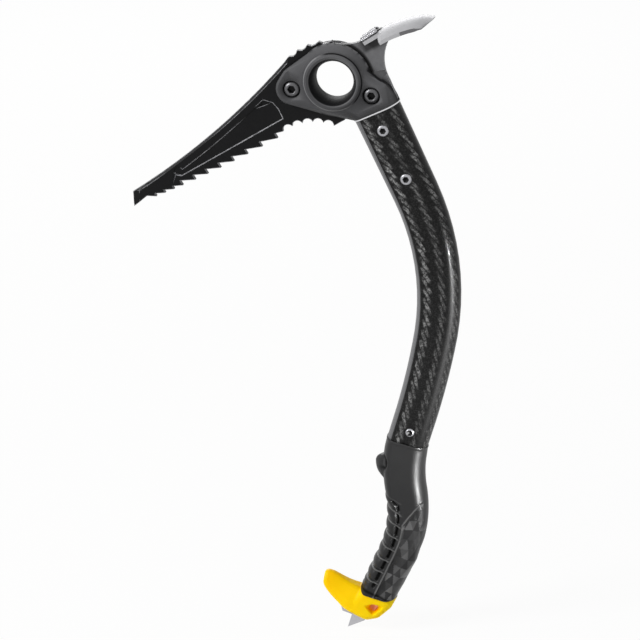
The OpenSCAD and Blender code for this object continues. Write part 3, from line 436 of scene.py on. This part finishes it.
# a painted shadow blackens the plate for 3 mm beside the cheek
cheek_shadow = add(tree, "ShaderNodeMapRange", {"From Min": 0.0335, "From Max": 0.0318, "To Max": 0.9},
            {"Value": from_eye(tree, place)})
rounded, edge = edge_highlight(tree, 0.0004, 0.98, 0.88)
# the painted shadows, then a painted highlight along the edges
for mask, over in ((blade_shadow, "#19191A"), (cheek_shadow, "#070707"),
                   (edge, "#D0D0D2")):
    tone = add(tree, "ShaderNodeMix", {7: linear(over)}, {0: mask, 6: tone},
               data_type="RGBA").outputs[2]
skin = add(tree, "ShaderNodeBump", {"Strength": 0.3, "Distance": 0.0003},
           {"Height": scale, "Normal": rounded})
surface(tree, {"Metallic": 0.3, "Roughness": 0.5, "Specular IOR Level": 0.3},
        {"Base Color": tone, "Normal": skin})
dress(finished_copy("adze_mount"), plate_grey)

# ---------------------------------------------------------------- ADZE BLADE
# A pressed steel shovel plate, shot blasted and nickel plated: pale satin metal. Its flanks
# are ground to the cutting edge, which leaves them a darker grey with fine lines.
nickel, tree, place = new_finish("satin_nickel_plate")
satin = add(tree, "ShaderNodeTexNoise", {"Scale": 900.0, "Detail": 2.0}, {"Vector": place})
rough = add(tree, "ShaderNodeMapRange", {"To Min": 0.34, "To Max": 0.5}, {"Value": satin})
pale = mottle(tree, place, 80.0, 3.0, "#A6A6A9", "#B4B4B6")[1]
skin = add(tree, "ShaderNodeBump", {"Strength": 0.02, "Distance": 0.0002}, {"Height": satin})
surface(tree, {"Metallic": 0.25, "Specular IOR Level": 0.35},
        {"Base Color": pale, "Roughness": rough, "Normal": skin})

ground, tree, place = new_finish("ground_edge_steel")
# the wheel leaves lines 0.3 mm apart across the facet
drawn = add(tree, "ShaderNodeMapping", {"Scale": (3000.0, 300.0, 300.0)}, {"Vector": place})
grey = mottle(tree, drawn, 1.0, 2.0, "#58585A", "#747476")[1]
surface(tree, {"Metallic": 0.4, "Roughness": 0.45, "Specular IOR Level": 0.3},
        {"Base Color": grey})
blade = finished_copy("adze_blade", 35)
dress(blade, nickel)
blade.data.materials.append(ground)
# both flanks are ground from 55 mm behind the eye to the cutting edge
GROUND_FROM, FLANK_AT = 55 * MM, 15 * MM
for face in blade.data.polygons:
    on_flank = abs(face.normal.y) > 0.6 and abs(face.center.y) > FLANK_AT
    if on_flank and face.center.x > GROUND_FROM:
        face.material_index = 1

# ---------------------------------------------------------------- WELDS
# Two fillet welds in the corner between the blade and its mount, laid by hand: each bead is
# a row of frozen ripples, like fish scales, which overlap towards the head.
RIPPLES, BEAD_AT = 9, 5.1
low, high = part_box("adze_welds")
weld_foot = Vector((low[0] + 0.6 * MM, 0, low[2] + 1.3 * MM))
weld_top = Vector((high[0] - 1.2 * MM, 0, high[2] - 0.9 * MM))
run = weld_top - weld_foot
lean = math.atan2(run.z, run.x)
bpy.ops.object.select_all(action="DESELECT")
bpy.ops.mesh.primitive_uv_sphere_add(segments=16, ring_count=10, radius=1)
ripple = bpy.context.object
ripple.name = "weld_ripple"
bpy.ops.object.mode_set(mode="EDIT")
bpy.ops.mesh.select_all(action="SELECT")
# a ripple is 3.5 mm along the bead, 5.8 mm across and 3 mm high, and tips back
bpy.ops.transform.resize(value=(1.7 * MM, 2.9 * MM, 1.5 * MM))
bpy.ops.object.mode_set(mode="OBJECT")
for point in ripple.data.vertices:
    point.co.z -= 0.6 * point.co.x
rows = []
for side in (-1, 1):
    for i in range(RIPPLES):
        bead = ripple.copy()
        bead.data = ripple.data.copy()
        bpy.context.collection.objects.link(bead)
        spot = weld_foot + run * (i / (RIPPLES - 1))
        wander = 0.18 * math.sin(2.4 * i + side)
        bead.location = (spot.x, side * (BEAD_AT + wander) * MM, spot.z)
        bead.rotation_euler = (side * math.radians(-28), -lean + 0.12 * math.sin(1.7 * i), 0)
        bead.scale = (1, 1 + 0.1 * math.sin(3.1 * i), 1 + 0.12 * math.sin(1.3 * i + 1))
        rows.append(bead)
bpy.data.objects.remove(ripple)
take(*rows)
bpy.ops.object.transform_apply(location=True, rotation=True, scale=True)
bpy.ops.object.join()
welds = bpy.context.object
welds.name = "adze_weld_beads"
bpy.ops.object.shade_smooth()
# the tops of the ripples shine, and the creases between them are painted black as shade
scorched, tree, place = new_finish("plated_weld_metal")
scale = add(tree, "ShaderNodeTexNoise", {"Scale": 700.0, "Detail": 4.0}, {"Vector": place})
hollow = add(tree, "ShaderNodeAmbientOcclusion", {"Distance": 0.002}, samples=8)
open_to_light = add(tree, "ShaderNodeMapRange", {"From Min": 0.55, "From Max": 0.95},
            {"Value": hollow.outputs["AO"]})
grey = add(tree, "ShaderNodeMix", {6: linear("#0C0C0D"), 7: linear("#A8A8AB")},
           {0: open_to_light}, data_type="RGBA")
skin = add(tree, "ShaderNodeBump", {"Strength": 0.06, "Distance": 0.0003}, {"Height": scale})
surface(tree, {"Metallic": 0.85, "Roughness": 0.34},
        {"Base Color": grey.outputs[2], "Normal": skin})
dress(welds, scorched)
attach(welds, "root")
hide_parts("adze_welds")

# ---------------------------------------------------------------- HEAD BOLTS
# Button bolts of blackened steel with a hex socket, and their sleeve nuts. The rims have
# a painted highlight, and the deep sockets are painted black as shade.


def grained(name, scale, detail, dark, pale, shader, painted_light=None):
    """A plain finish in two tones. painted_light is the radius, start and full of the painted
    highlight on its edges, and the tone of that highlight."""
    material, tree, place = new_finish(name)
    tone = mottle(tree, place, scale, detail, dark, pale)[1]
    links = {"Base Color": tone}
    if painted_light:
        rounded, edge = edge_highlight(tree, *painted_light[:3])
        bright = add(tree, "ShaderNodeMix", {7: linear(painted_light[3])}, {0: edge, 6: tone},
                     data_type="RGBA")
        links = {"Base Color": bright.outputs[2], "Normal": rounded}
    surface(tree, shader, links)
    return material


# the rims get a painted highlight, and the sockets painted shade
bolt_steel = grained("phosphated_bolt_steel", 700.0, 2.0, "#525254", "#666668",
                     {"Metallic": 0.7, "Roughness": 0.36}, (0.0005, 0.99, 0.94, "#E6E6EA"))
socket_shade = grained("painted_shade_socket", 900.0, 2.0, "#050505", "#101011",
               {"Roughness": 0.5, "Specular IOR Level": 0.15})


def darken_sockets(screw, axes, width, face_y):
    """Gives the faces of the hex sockets, width across corners, the material of painted shade."""
    screw.data.materials.append(socket_shade)
    points = screw.data.vertices
    for face in screw.data.polygons:
        spots = [face.center] + [points[v].co for v in face.vertices]
        reach = [min(math.hypot(p.x - x, p.z - z) for x, z in axes) for p in spots]
        inside = reach[0] < width / 2 and max(reach) < width / 2 + 0.2 * MM
        if inside and abs(face.center.y) < face_y:
            face.material_index = 1


for node in ("pick_bolt", "pick_bolt_nut", "adze_bolt", "adze_bolt_nut"):
    bolt = finished_copy(node)
    dress(bolt, bolt_steel)
    low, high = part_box(node)
    centre = ((low[0] + high[0]) / 2, (low[2] + high[2]) / 2)
    # the socket is 6 mm across its flats, and the flat of the head isn't part of it
    darken_sockets(bolt, [centre], 7 * MM, max(abs(low[1]), abs(high[1])) - 0.02 * MM)

# ---------------------------------------------------------------- CARBON TUBE
# The shaft: a tube of carbon fibre in epoxy, moulded round a waisted core, with a 2 x 2 twill
# cloth outside and a clear gloss coat over it. The cloth is wound at a slant, so that its
# twill lines run straight down the shaft.

# The axis of the shaft from the neck down, in mm: curvature and length of each run
NECK_X, NECK_Z, NECK_LEAN = 34.2, -24.0, math.radians(25.6)
RUNS = [(0, 74), (-1 / 208, 128), (-1 / 650, 86), (1 / 105, 51), (-1 / 99, 60), (0, 141)]
GRIP_AT = 295.0
# half widths of the tube at the neck and below the taper, and its half thickness
NECK_HALF_W, FOOT_HALF_W, HALF_T = 20.0, 17.25, 12.5


def step_along(x, z, lean, bend, length):
    """The end of a run of the axis, and its lean from the vertical."""
    if bend == 0:
        return x + length * math.sin(lean), z - length * math.cos(lean), lean
    turn = lean + bend * length
    return (x + (math.cos(lean) - math.cos(turn)) / bend,
            z - (math.sin(turn) - math.sin(lean)) / bend, turn)


def axis_spot(s):
    """The axis at distance s from the neck: x, z and lean."""
    x, z, lean = NECK_X, NECK_Z, NECK_LEAN
    for bend, length in RUNS[:-1]:
        if s <= length:
            return step_along(x, z, lean, bend, s)
        x, z, lean = step_along(x, z, lean, bend, length)
        s -= length
    return step_along(x, z, lean, RUNS[-1][0], s)


def axis_share(px, pz):
    """Distance along the axis, and distance behind it, of a point of the XZ plane."""
    x, z, lean = NECK_X, NECK_Z, NECK_LEAN
    done = 0.0
    for bend, length in RUNS:
        if bend == 0:
            s = (px - x) * math.sin(lean) - (pz - z) * math.cos(lean)
            u = (px - x) * math.cos(lean) + (pz - z) * math.sin(lean)
        else:
            cx, cz = x + math.cos(lean) / bend, z + math.sin(lean) / bend
            way = -1 if bend > 0 else 1
            angle = math.atan2(way * (pz - cz), way * (px - cx))
            s = (angle - lean) / bend
            u = 1 / bend + way * math.hypot(px - cx, pz - cz)
        if s <= length:
            break
        x, z, lean = step_along(x, z, lean, bend, length)
        done += length
    return done + s, u


def section(half_w, half_t):
    """How far the nose and the heel of a section reach, and the length round each part."""
    front, rear = 0.4 * half_w, 0.64 * half_w
    nose = 0.25 * math.pi * (front + half_t)
    return front, rear, nose, 2 * half_w - front - rear, 0.25 * math.pi * (rear + half_t)


def round_the_section(u, v, half_w, half_t):
    """Distance round the section from its front edge, for a point on its skin."""
    front, rear, nose, web, tail = section(half_w, half_t)
    if u < -half_w + front:
        angle = math.atan2(abs(v) / half_t, max(0.0, -(u + half_w - front) / front))
        return nose * angle / (0.5 * math.pi)
    if u < half_w - rear:
        return nose + u + half_w - front
    angle = math.atan2(max(0.0, (u - half_w + rear) / rear), abs(v) / half_t)
    return nose + web + tail * angle / (0.5 * math.pi)


shaft = finished_copy("shaft_tube", 35)
# The cloth follows the tube, so each point keeps its place along and round the tube
cloth = shaft.data.attributes.new("cloth_place", "FLOAT_VECTOR", "POINT")
for point in shaft.data.vertices:
    s, u = axis_share(point.co.x / MM, point.co.z / MM)
    taper = (1 - min(1.0, max(0.0, s / GRIP_AT))) ** 1.35
    half_w = FOOT_HALF_W + (NECK_HALF_W - FOOT_HALF_W) * taper
    round_it = round_the_section(u, point.co.y / MM, half_w, HALF_T)
    cloth.data[point.index].vector = (s, round_it, 0.0)

carbon, tree = blank_material("carbon_twill_in_epoxy")
# the floats of the warp are 3.3 mm wide and 2 x 8.8 mm long, and lean so far back that the
# twill lines, 12 mm apart, run straight down the shaft
TOW_WIDTH, TOW_STEP = 3.3, 8.8
cloth = add(tree, "ShaderNodeAttribute", attribute_name="cloth_place")
wander = add(tree, "ShaderNodeTexNoise", {"Scale": 0.2, "Detail": 3.0},
             {"Vector": cloth.outputs["Vector"]})
# laid up by hand: the tows drift by up to a millimetre
drift = add(tree, "ShaderNodeVectorMath", {3: 3.2}, {0: wander.outputs["Color"]},
            operation="SCALE")
laid = add(tree, "ShaderNodeVectorMath",
           links={0: cloth.outputs["Vector"], 1: drift}, operation="ADD")
tows = add(tree, "ShaderNodeMapping",
           {"Location": (0, 6.0, 0), "Rotation": (0, 0, math.atan2(TOW_WIDTH, TOW_STEP)),
            "Scale": (TOW_STEP, -TOW_WIDTH, 1)}, {"Vector": laid},
           vector_type="TEXTURE")
axes = add(tree, "ShaderNodeSeparateXYZ", links={0: tows})
warp_no = add(tree, "ShaderNodeMath", links={0: axes.outputs["Y"]}, operation="FLOOR")
# 2 x 2 twill: a warp tow passes over two weft tows and under two, one step on from the last
step = add(tree, "ShaderNodeMath", links={0: axes.outputs["X"], 1: warp_no}, operation="SUBTRACT")
lap = add(tree, "ShaderNodeMath", {1: 4.0}, {0: step}, operation="FLOORED_MODULO")
# so its float rises over two steps, and each tow is round across: high in its middle
in_warp = add(tree, "ShaderNodeMath", links={0: axes.outputs["Y"]}, operation="FRACT")
arches = []
for share, half_wave in ((lap, math.pi / 2), (in_warp, math.pi)):
    arch = add(tree, "ShaderNodeMath", {1: half_wave}, {0: share}, operation="MULTIPLY")
    arches.append(add(tree, "ShaderNodeMath", links={0: arch}, operation="SINE"))
relief = add(tree, "ShaderNodeMath", operation="MULTIPLY", use_clamp=True,
             links={0: arches[0], 1: arches[1]})
# every second twill line gets a weaker painted glint
line_no = add(tree, "ShaderNodeMath", {1: 4.0}, {0: step}, operation="DIVIDE")
line_no = add(tree, "ShaderNodeMath", links={0: line_no}, operation="FLOOR")
dim_glint_line = add(tree, "ShaderNodeMath", {1: 2.0}, {0: line_no}, operation="FLOORED_MODULO")
dim_glint_line = add(tree, "ShaderNodeMapRange", {"To Min": 0.45}, {"Value": dim_glint_line})
# the painted glint breaks up into bundles of fibre, about 1 mm wide
strands = add(tree, "ShaderNodeMapping", {"Scale": (5.0, 2.6, 1.0)}, {"Vector": tows})
strands = add(tree, "ShaderNodeTexNoise", {"Scale": 1.0, "Detail": 4.0, "Roughness": 0.7},
              {"Vector": strands})
spark = add(tree, "ShaderNodeMapRange",
            {"From Min": 0.44, "From Max": 0.56, "To Min": 0.12},
            {"Value": strands})
# and its strength changes over whole stretches of cloth
patches = add(tree, "ShaderNodeTexNoise", {"Scale": 0.12, "Detail": 2.0},
              {"Vector": cloth.outputs["Vector"]})
patch = add(tree, "ShaderNodeMapRange",
            {"From Min": 0.38, "From Max": 0.6, "To Min": 0.25},
            {"Value": patches})
# the bright flecks are a painted glint, which sits on the raised floats
painted_glint = add(tree, "ShaderNodeMath", {1: 1.5}, {0: relief}, operation="MULTIPLY", use_clamp=True)
for share in (dim_glint_line, spark, patch):
    painted_glint = add(tree, "ShaderNodeMath", links={0: painted_glint, 1: share},
                operation="MULTIPLY", use_clamp=True)
fibres = add(tree, "ShaderNodeTexNoise", {"Scale": 0.9, "Detail": 4.0, "Roughness": 0.7},
             {"Vector": laid})
fibres = add(tree, "ShaderNodeMapRange", {"From Min": 0.48, "From Max": 0.66}, {"Value": fibres})
base = add(tree, "ShaderNodeMix", {6: linear("#050505"), 7: linear("#2E2E2E")},
           {0: fibres}, data_type="RGBA")
colour = add(tree, "ShaderNodeMix", {7: linear("#9E9E9E")},
             {0: painted_glint, 6: base.outputs[2]}, data_type="RGBA")
# the gel coat of the front strip runs over the nose of the tube: 14 mm round it at the
# neck, and 11 mm lower down
spot = add(tree, "ShaderNodeSeparateXYZ", links={0: cloth.outputs["Vector"]})
edge_at = add(tree, "ShaderNodeMapRange", {"From Max": 130.0, "To Min": 13.6, "To Max": 11.2},
              {"Value": spot.outputs["X"]})
inside = add(tree, "ShaderNodeMath", links={0: edge_at, 1: spot.outputs["Y"]},
             operation="SUBTRACT")
inside = add(tree, "ShaderNodeMapRange", {"From Min": -0.15, "From Max": 0.15}, {"Value": inside})
colour = add(tree, "ShaderNodeMix", {7: linear("#5E5E60")},
             {0: inside, 6: colour.outputs[2]}, data_type="RGBA")
relief = add(tree, "ShaderNodeMix", {3: 1.0}, {0: inside, 2: relief}, data_type="FLOAT")
skin = add(tree, "ShaderNodeBump", {"Strength": 0.35, "Distance": 0.0003}, {"Height": relief})
surface(tree, {"Roughness": 0.35, "Specular IOR Level": 0.12, "Coat Weight": 0.12,
               "Coat Roughness": 0.12, "Coat IOR": 1.4},
        {"Base Color": colour.outputs[2], "Normal": skin})
dress(shaft, carbon)

# ---------------------------------------------------------------- FRONT STRIP
# A strip of grey gel coat, let into the front edge of the tube all the way down: an even,
# smooth grey with a soft gloss.
strip_grey = grained("grey_gel_coat", 500.0, 2.0, "#5C5C5E", "#646466",
                     {"Roughness": 0.4, "Specular IOR Level": 0.3})
dress(finished_copy("shaft_strip"), strip_grey)

# ---------------------------------------------------------------- SHAFT SCREWS
# Small socket screws with sleeve nuts, turned from steel and zinc plated, so they are the
# brightest metal on the shaft. Their rims have a painted highlight; their sockets, painted shade.
zinc = grained("bright_zinc_plate", 900.0, 2.0, "#98989C", "#B4B4B8",
               {"Metallic": 0.9, "Roughness": 0.28}, (0.0003, 0.985, 0.9, "#F2F2F4"))
# the 3 mm hex sockets reach 1.732 mm from their axis, and are opened out to 4.8 mm, as the
# heads show
CORNER, OPENED, SOCKET_DEEP = 1.732 * MM, 0.6, 1.5 * MM
for node, spots in (("upper_shaft_screws", (16.0, 60.0)), ("upper_shaft_nuts", (16.0, 60.0)),
                    ("lower_shaft_screw", (284.0,)), ("lower_shaft_nut", (284.0,))):
    screw = finished_copy(node)
    dress(screw, zinc)
    axes = [(x * MM, z * MM) for x, z, lean in (axis_spot(s) for s in spots)]
    low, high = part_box(node)
    face_y = max(abs(low[1]), abs(high[1]))
    for point in screw.data.vertices:
        for x, z in axes:
            off = Vector((point.co.x - x, 0, point.co.z - z))
            in_socket = abs(point.co.y) > face_y - SOCKET_DEEP
            if in_socket and abs(off.length - CORNER) < 0.1 * MM:
                point.co += off * OPENED
    darken_sockets(screw, axes, 5.6 * MM, face_y - 0.02 * MM)

# ---------------------------------------------------------------- PLUG AND INSERT
# Two milled aluminium blocks inside the tube, and the pins of the spike, left as they came
# off the machine: plain silver metal. The tube and the pommel hide them all round.
milled = grained("milled_aluminium", 600.0, 2.0, "#A4A4A8", "#B6B6BA",
                 {"Metallic": 1.0, "Roughness": 0.4})
for node in ("lower_plug", "foot_insert", "spike_pins"):
    dress(finished_copy(node), milled)

# ---------------------------------------------------------------- GRIP SLEEVE
# Natural rubber, moulded on to the tube in one piece: smooth at the top, with a knob for the
# finger, a ribbed front with a chain of deep slots behind it, a raised parting line and a
# back cut into facets. It is matt, dark grey, and shines softly where it is smooth.
RINGS, POINTS = 330, 168
# mm: the length of the sleeve, half its width and thickness at both ends, and the shaft that
# fills it there
GRIP_LENGTH = 141
TOP_W, TOP_T, FOOT_W, FOOT_T = 18, 13.3, 15.75, 13.75
TOP_CORE, FOOT_CORE = (17.5, 12.75), (13.7, 10.2)


def smooth(t):
    t = min(1.0, max(0.0, t))
    return t * t * (3 - 2 * t)


def hill(t, width):
    return math.exp(-(t / width) ** 2)


def chance(a, b):
    """A number from 0 to 1 that is always the same for the same pair."""
    x = math.sin(a * 127.1 + b * 311.7) * 437.58
    return x - math.floor(x)


def grip_outline(along, share):
    """A point of the plain section, u and v, and which way is out; share runs from 0 to 1."""
    half_w = TOP_W + (FOOT_W - TOP_W) * min(1.0, along / GRIP_LENGTH)
    half_w -= 0.5 * (1 - smooth(along / 10))
    half_t = TOP_T + (FOOT_T - TOP_T) * smooth(along / 30)
    front, rear, nose, web, tail = section(half_w, half_t)
    side = -1 if share < 0.5 else 1
    run = (1 - abs(2 * share - 1)) * (nose + web + tail)
    if run < nose:
        b = 0.5 * math.pi * run / nose
        u, v = -half_w + front - front * math.cos(b), half_t * math.sin(b)
        out = (-math.cos(b) / front, math.sin(b) / half_t)
    elif run < nose + web:
        u, v, out = -half_w + front + run - nose, half_t, (0.0, 1.0)
    else:
        b = 0.5 * math.pi * (run - nose - web) / tail
        u, v = half_w - rear + rear * math.sin(b), half_t * math.cos(b)
        out = (math.sin(b) / rear, math.cos(b) / half_t)
    size = math.hypot(*out)
    return u, side * v, out[0] / size, side * out[1] / size, run


def grip_foot(u, v):
    """Where the sleeve ends: cut at 9 degrees, and bowed down at the sides."""
    return GRIP_LENGTH + 0.5 - u * math.tan(math.radians(9)) + 3 * (v / FOOT_T) ** 2


# The parting line, in mm along the grip and behind its axis: it comes round from the back
# and then runs down the middle of the side
PARTING = [(46, 17.0), (52, 13.6), (58, 7.6), (65, 1.9), (72, -2.3), (80, -2.0), (88, -2.2),
           (95, -2.6), (150, -2.4)]
RIB_PITCH = 11.25
FIRST_RIB = 62.8


def parting_at(along):
    if along <= PARTING[0][0]:
        return 99.0
    for (s0, u0), (s1, u1) in zip(PARTING, PARTING[1:]):
        if along <= s1:
            return u0 + (u1 - u0) * (along - s0) / (s1 - s0)
    return PARTING[-1][1]


def facet_depth(along, run):
    """Flat triangles between the points of a loose 8 mm net, each point at its own depth."""
    p, q = along / 8.4, run / 7.4
    q -= 0.5 * p
    i, j = math.floor(p), math.floor(q)
    f, g = p - i, q - j
    corners = [(i, j), (i + 1, j), (i, j + 1), (i + 1, j + 1)]
    a, b, c, d = [chance(m * 1.31 + 4.7, n * 0.77) for m, n in corners]
    if f + g < 1:
        return a + (b - a) * f + (c - a) * g, chance(i + 0.5, j)
    return d + (c - d) * (1 - f) + (b - d) * (1 - g), chance(i, j + 0.5)


def grip_relief(along, u, v, run):
    """How far the rubber stands out of the plain section, in mm; which lines get a painted
    highlight (1) and which painted shade (-1); and the painted tone of the facet."""
    # the ribs lean less and less towards the bottom
    crest = along
    for _ in range(3):
        lean = 0.85 * max(0.0, 1 - max(0.0, crest - FIRST_RIB) / 50) ** 1.5 - 0.04
        crest = along - lean * (max(u, -17.0) + 4)
    count = (crest - FIRST_RIB) / RIB_PITCH
    part = count - math.floor(count)
    gap = min(part, 1 - part) * RIB_PITCH
    ribbed = smooth((crest - FIRST_RIB + RIB_PITCH) / 2.5) * (1 - smooth((along - 134) / 3))
    seam = parting_at(along)
    height = 0.0
    # ribs: round pads, with a thin raised line along the foot of each
    on_front = smooth((-5.2 - u) / 1.6)
    to_nose = 0.45 + 0.55 * smooth((-u - 8) / 7)
    pad = math.sqrt(max(0.0, math.sin(math.pi * part)))
    height += ribbed * on_front * (2.5 * to_nose * pad - 1.8 * to_nose)
    line = ribbed * smooth((-3.0 - u) / 1.2) * smooth((u + 17.5) / 2.5)
    line *= hill(part * RIB_PITCH - 0.8, 0.5)
    height += 0.8 * line
    # a deep slot beside each pad, its start turned over towards the front
    start = FIRST_RIB - RIB_PITCH
    slot_u = -6.6 - 5.0 * (1 - smooth((along - start + 4) / 8))
    in_slot = hill(u - slot_u, 1.15) * smooth((gap - 0.9) / 1.2)
    height -= 2.6 * in_slot * smooth((along - start + 3.5) / 2.0) * smooth((137 - along) / 2)
    # the parting line
    off = abs(u - seam) * (0.75 if along < 70 else 1.0)
    parting = hill(off, 0.55) * smooth((along - 51) / 4)
    height += 0.7 * parting
    # behind the ball of the finger knob the rubber is drawn in, with painted shade in the hollow
    crescent = hill(math.hypot(along - 19.3, u + 18.8) - 4.9, 1.4) * smooth((u + 17.7) / 1.2)
    height -= 1.2 * crescent
    # the back: facets, which end before the joint and leave the very top smooth
    behind = smooth((u - seam - 0.6) / 1.2) * smooth((along - 47) / 4) if u > -5 else 0.0
    behind *= 1 - smooth((u - 13) / 2) * (1 - smooth((along - 66) / 12))
    depth, tone = facet_depth(along, run)
    height -= behind * (3.2 - 1.6 * smooth((u - 9) / 5)) * (depth - 0.15)
    # a low rim at both ends
    height += 0.35 * hill(along - 139.5, 1.2) + 0.3 * hill(along - 1.0, 1.2)
    # painted highlights on the raised lines, and painted shade behind the knob and at the lower
    # end
    sunk = max(crescent, hill(along - 141.5, 1.4))
    return height, max(line, parting) - sunk, behind * tone


bpy.ops.object.select_all(action="DESELECT")
bpy.ops.mesh.primitive_grid_add(x_subdivisions=POINTS, y_subdivisions=RINGS, size=2)
grip = bpy.context.object
grip.name = "grip_sleeve_rubber"
# a twentieth of the rings turns in at each end and runs along the tube, to half way
TURNED_IN, HALF_WAY, HALF_WAY_W = 0.05, 70, 16.9
# the ball of the finger knob, and how far it swells above and below that
KNOB_AT, KNOB_ABOVE, KNOB_BELOW, KNOB_OUT = 20.5, 5.3, 11.2, 6.5
# attributes for the painted light: highlights and shade on the lines, and a tone for each facet
painted_light = grip.data.attributes.new("painted_light", "FLOAT", "POINT")
facet_tones = grip.data.attributes.new("painted_facet_tone", "FLOAT", "POINT")
for point in grip.data.vertices:
    share = (point.co.x + 1) / 2 % 1.0
    down = (1 - point.co.y) / 2
    if TURNED_IN <= down <= 1 - TURNED_IN:
        t = (down - TURNED_IN) / (1 - 2 * TURNED_IN)
        u, v = grip_outline(GRIP_LENGTH * t, share)[:2]
        along = t * grip_foot(u, v)
        u, v, out_u, out_v, run = grip_outline(along, share)
        rise_out, line, tone = grip_relief(along, u, v, run)
        painted_light.data[point.index].value = line
        facet_tones.data[point.index].value = tone
        knob = (along - KNOB_AT) / (KNOB_ABOVE if along < KNOB_AT else KNOB_BELOW)
        knob = math.sqrt(max(0.0, 1 - knob ** 2))
        reach = max(0.0, 1 - abs(v) / 6.4) ** 0.6 if u < 0 else 0.0
        u += out_u * rise_out - KNOB_OUT * knob * reach
        v += out_v * rise_out
    else:
        at_top = down < TURNED_IN
        t = 0.0 if at_top else 1.0
        inward = ((TURNED_IN - down) if at_top else (down - 1 + TURNED_IN)) / TURNED_IN
        u, v = grip_outline(GRIP_LENGTH * t, share)[:2]
        shrink = min(1.0, inward * 2)
        along = t * grip_foot(u, v) + (1 - 2 * t) * 12 * max(0.0, inward * 2 - 1)
        core, skin = (TOP_CORE, (TOP_W, TOP_T)) if at_top else (FOOT_CORE, (FOOT_W, FOOT_T))
        u *= 1 + (core[0] / skin[0] - 1) * shrink
        v *= 1 + (core[1] / skin[1] - 1) * shrink
        if inward > 0.999:
            # the two inner walls meet half way
            u, v = grip_outline(HALF_WAY, share)[:2]
            u, v = u * FOOT_CORE[0] / HALF_WAY_W, v * FOOT_CORE[1] / FOOT_T
            along = HALF_WAY
    x, z, lean = axis_spot(GRIP_AT + along)
    point.co = Vector((x + u * math.cos(lean), v, z + u * math.sin(lean))) * MM
bpy.ops.object.mode_set(mode="EDIT")
bpy.ops.mesh.select_all(action="SELECT")
bpy.ops.mesh.remove_doubles(threshold=0.00002)
bpy.ops.mesh.normals_make_consistent(inside=False)
bpy.ops.object.mode_set(mode="OBJECT")
bpy.ops.object.shade_smooth_by_angle(angle=math.radians(50))
rubber, tree, place = new_finish("moulded_rubber")
# the mould is etched: a grain of about 0.5 mm
grain = add(tree, "ShaderNodeTexNoise", {"Scale": 1400.0, "Detail": 3.0}, {"Vector": place})
grey = mottle(tree, place, 70.0, 3.0, "#19191A", "#242425")[1]
# painted shade in the hollows of the rubber
dark = shaded_corners(tree, grey, "#0A0A0A", 0.004, 0.45, 0.85)
# each facet gets its own painted light, a tone at random
facets = add(tree, "ShaderNodeAttribute", attribute_name="painted_facet_tone")
facet_light = add(tree, "ShaderNodeMath", {1: 2.5}, {0: facets.outputs["Fac"]}, operation="POWER")
# the raised lines get a painted highlight, and the sunk ones painted shade
lines = add(tree, "ShaderNodeAttribute", attribute_name="painted_light")
pale = add(tree, "ShaderNodeMath", {1: 0.8}, {0: lines.outputs["Fac"]}, operation="MULTIPLY",
           use_clamp=True)
sunk = add(tree, "ShaderNodeMapRange", {"From Min": 0.0, "From Max": -1.0, "To Max": 0.9},
           {"Value": lines.outputs["Fac"]})
for mask, over in ((facet_light, "#747475"), (pale, "#7C7C7C"), (sunk, "#060606")):
    dark = add(tree, "ShaderNodeMix", {7: linear(over)}, {0: mask, 6: dark},
               data_type="RGBA").outputs[2]
rough = add(tree, "ShaderNodeMapRange", {"To Min": 0.36, "To Max": 0.46}, {"Value": grain})
skin = add(tree, "ShaderNodeBump", {"Strength": 0.2, "Distance": 0.0002}, {"Height": grain})
# and less gloss where shade is painted
sheen = add(tree, "ShaderNodeMapRange", {"To Min": 0.27, "To Max": 0.03}, {"Value": sunk})
surface(tree, {}, {"Base Color": dark, "Roughness": rough,
                   "Normal": skin, "Specular IOR Level": sheen})
dress(grip, rubber)
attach(grip, "root")
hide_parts("grip_sleeve")

# ---------------------------------------------------------------- POMMEL
# Glass-filled nylon, injection moulded in yellow: every edge has the radius of its mould. The
# flare of the leash hole and the other hollows get a painted shade, darker orange.
nylon, tree, place = new_finish("moulded_yellow_nylon")
grain = add(tree, "ShaderNodeTexNoise", {"Scale": 1100.0, "Detail": 3.0}, {"Vector": place})
yellow = mottle(tree, place, 45.0, 2.0, "#FFC400", "#FFCC00")[1]
# painted light: the heel, down and to the right, is painted a little lighter
heel = rise(tree, place, (0.7, 0.0, -0.7), 0.3, 0.36)
yellow = add(tree, "ShaderNodeMix", {7: linear("#FFDC00")}, {0: heel, 6: yellow}, data_type="RGBA")
# painted shade, orange, in the hollows such as the leash hole
colour = shaded_corners(tree, yellow.outputs[2], "#EE9C00", 0.008, 0.35, 0.8)
skin = add(tree, "ShaderNodeBump", {"Strength": 0.12, "Distance": 0.0002}, {"Height": grain})
# the nylon lets a little light through, which glows orange in the leash hole; and a faint
# painted glow, emission in its own colour, makes the yellow stronger than the light that falls on
# it
surface(tree, {"Roughness": 0.4, "Specular IOR Level": 0.1, "Subsurface Weight": 0.25,
               "Subsurface Radius": (1.0, 0.7, 0.1), "Subsurface Scale": 0.004,
               "Emission Strength": 0.1},
        {"Base Color": colour, "Normal": skin, "Emission Color": colour})
pommel = finished_copy("pommel", 40)
# the mould rounds every edge by about half a millimetre
for kind, settings in (("REMESH", {"mode": "VOXEL", "voxel_size": 0.55 * MM}),
                       ("SMOOTH", {"factor": 0.5, "iterations": 5})):
    bpy.ops.object.modifier_add(type=kind)
    for name, value in settings.items():
        setattr(pommel.modifiers[-1], name, value)
    bpy.ops.object.modifier_apply(modifier=pommel.modifiers[-1].name)
bpy.ops.object.shade_smooth()
dress(pommel, nylon)

# ---------------------------------------------------------------- SPIKE
# A steel plate, ground to two points and hardened, then tumbled, which leaves an even satin
# grey with a fine speckle.
tumbled = grained("tumbled_steel", 500.0, 3.0, "#AEAEB2", "#C0C0C4",
                  {"Metallic": 1.0, "Roughness": 0.4})
dress(finished_copy("spike"), tumbled)
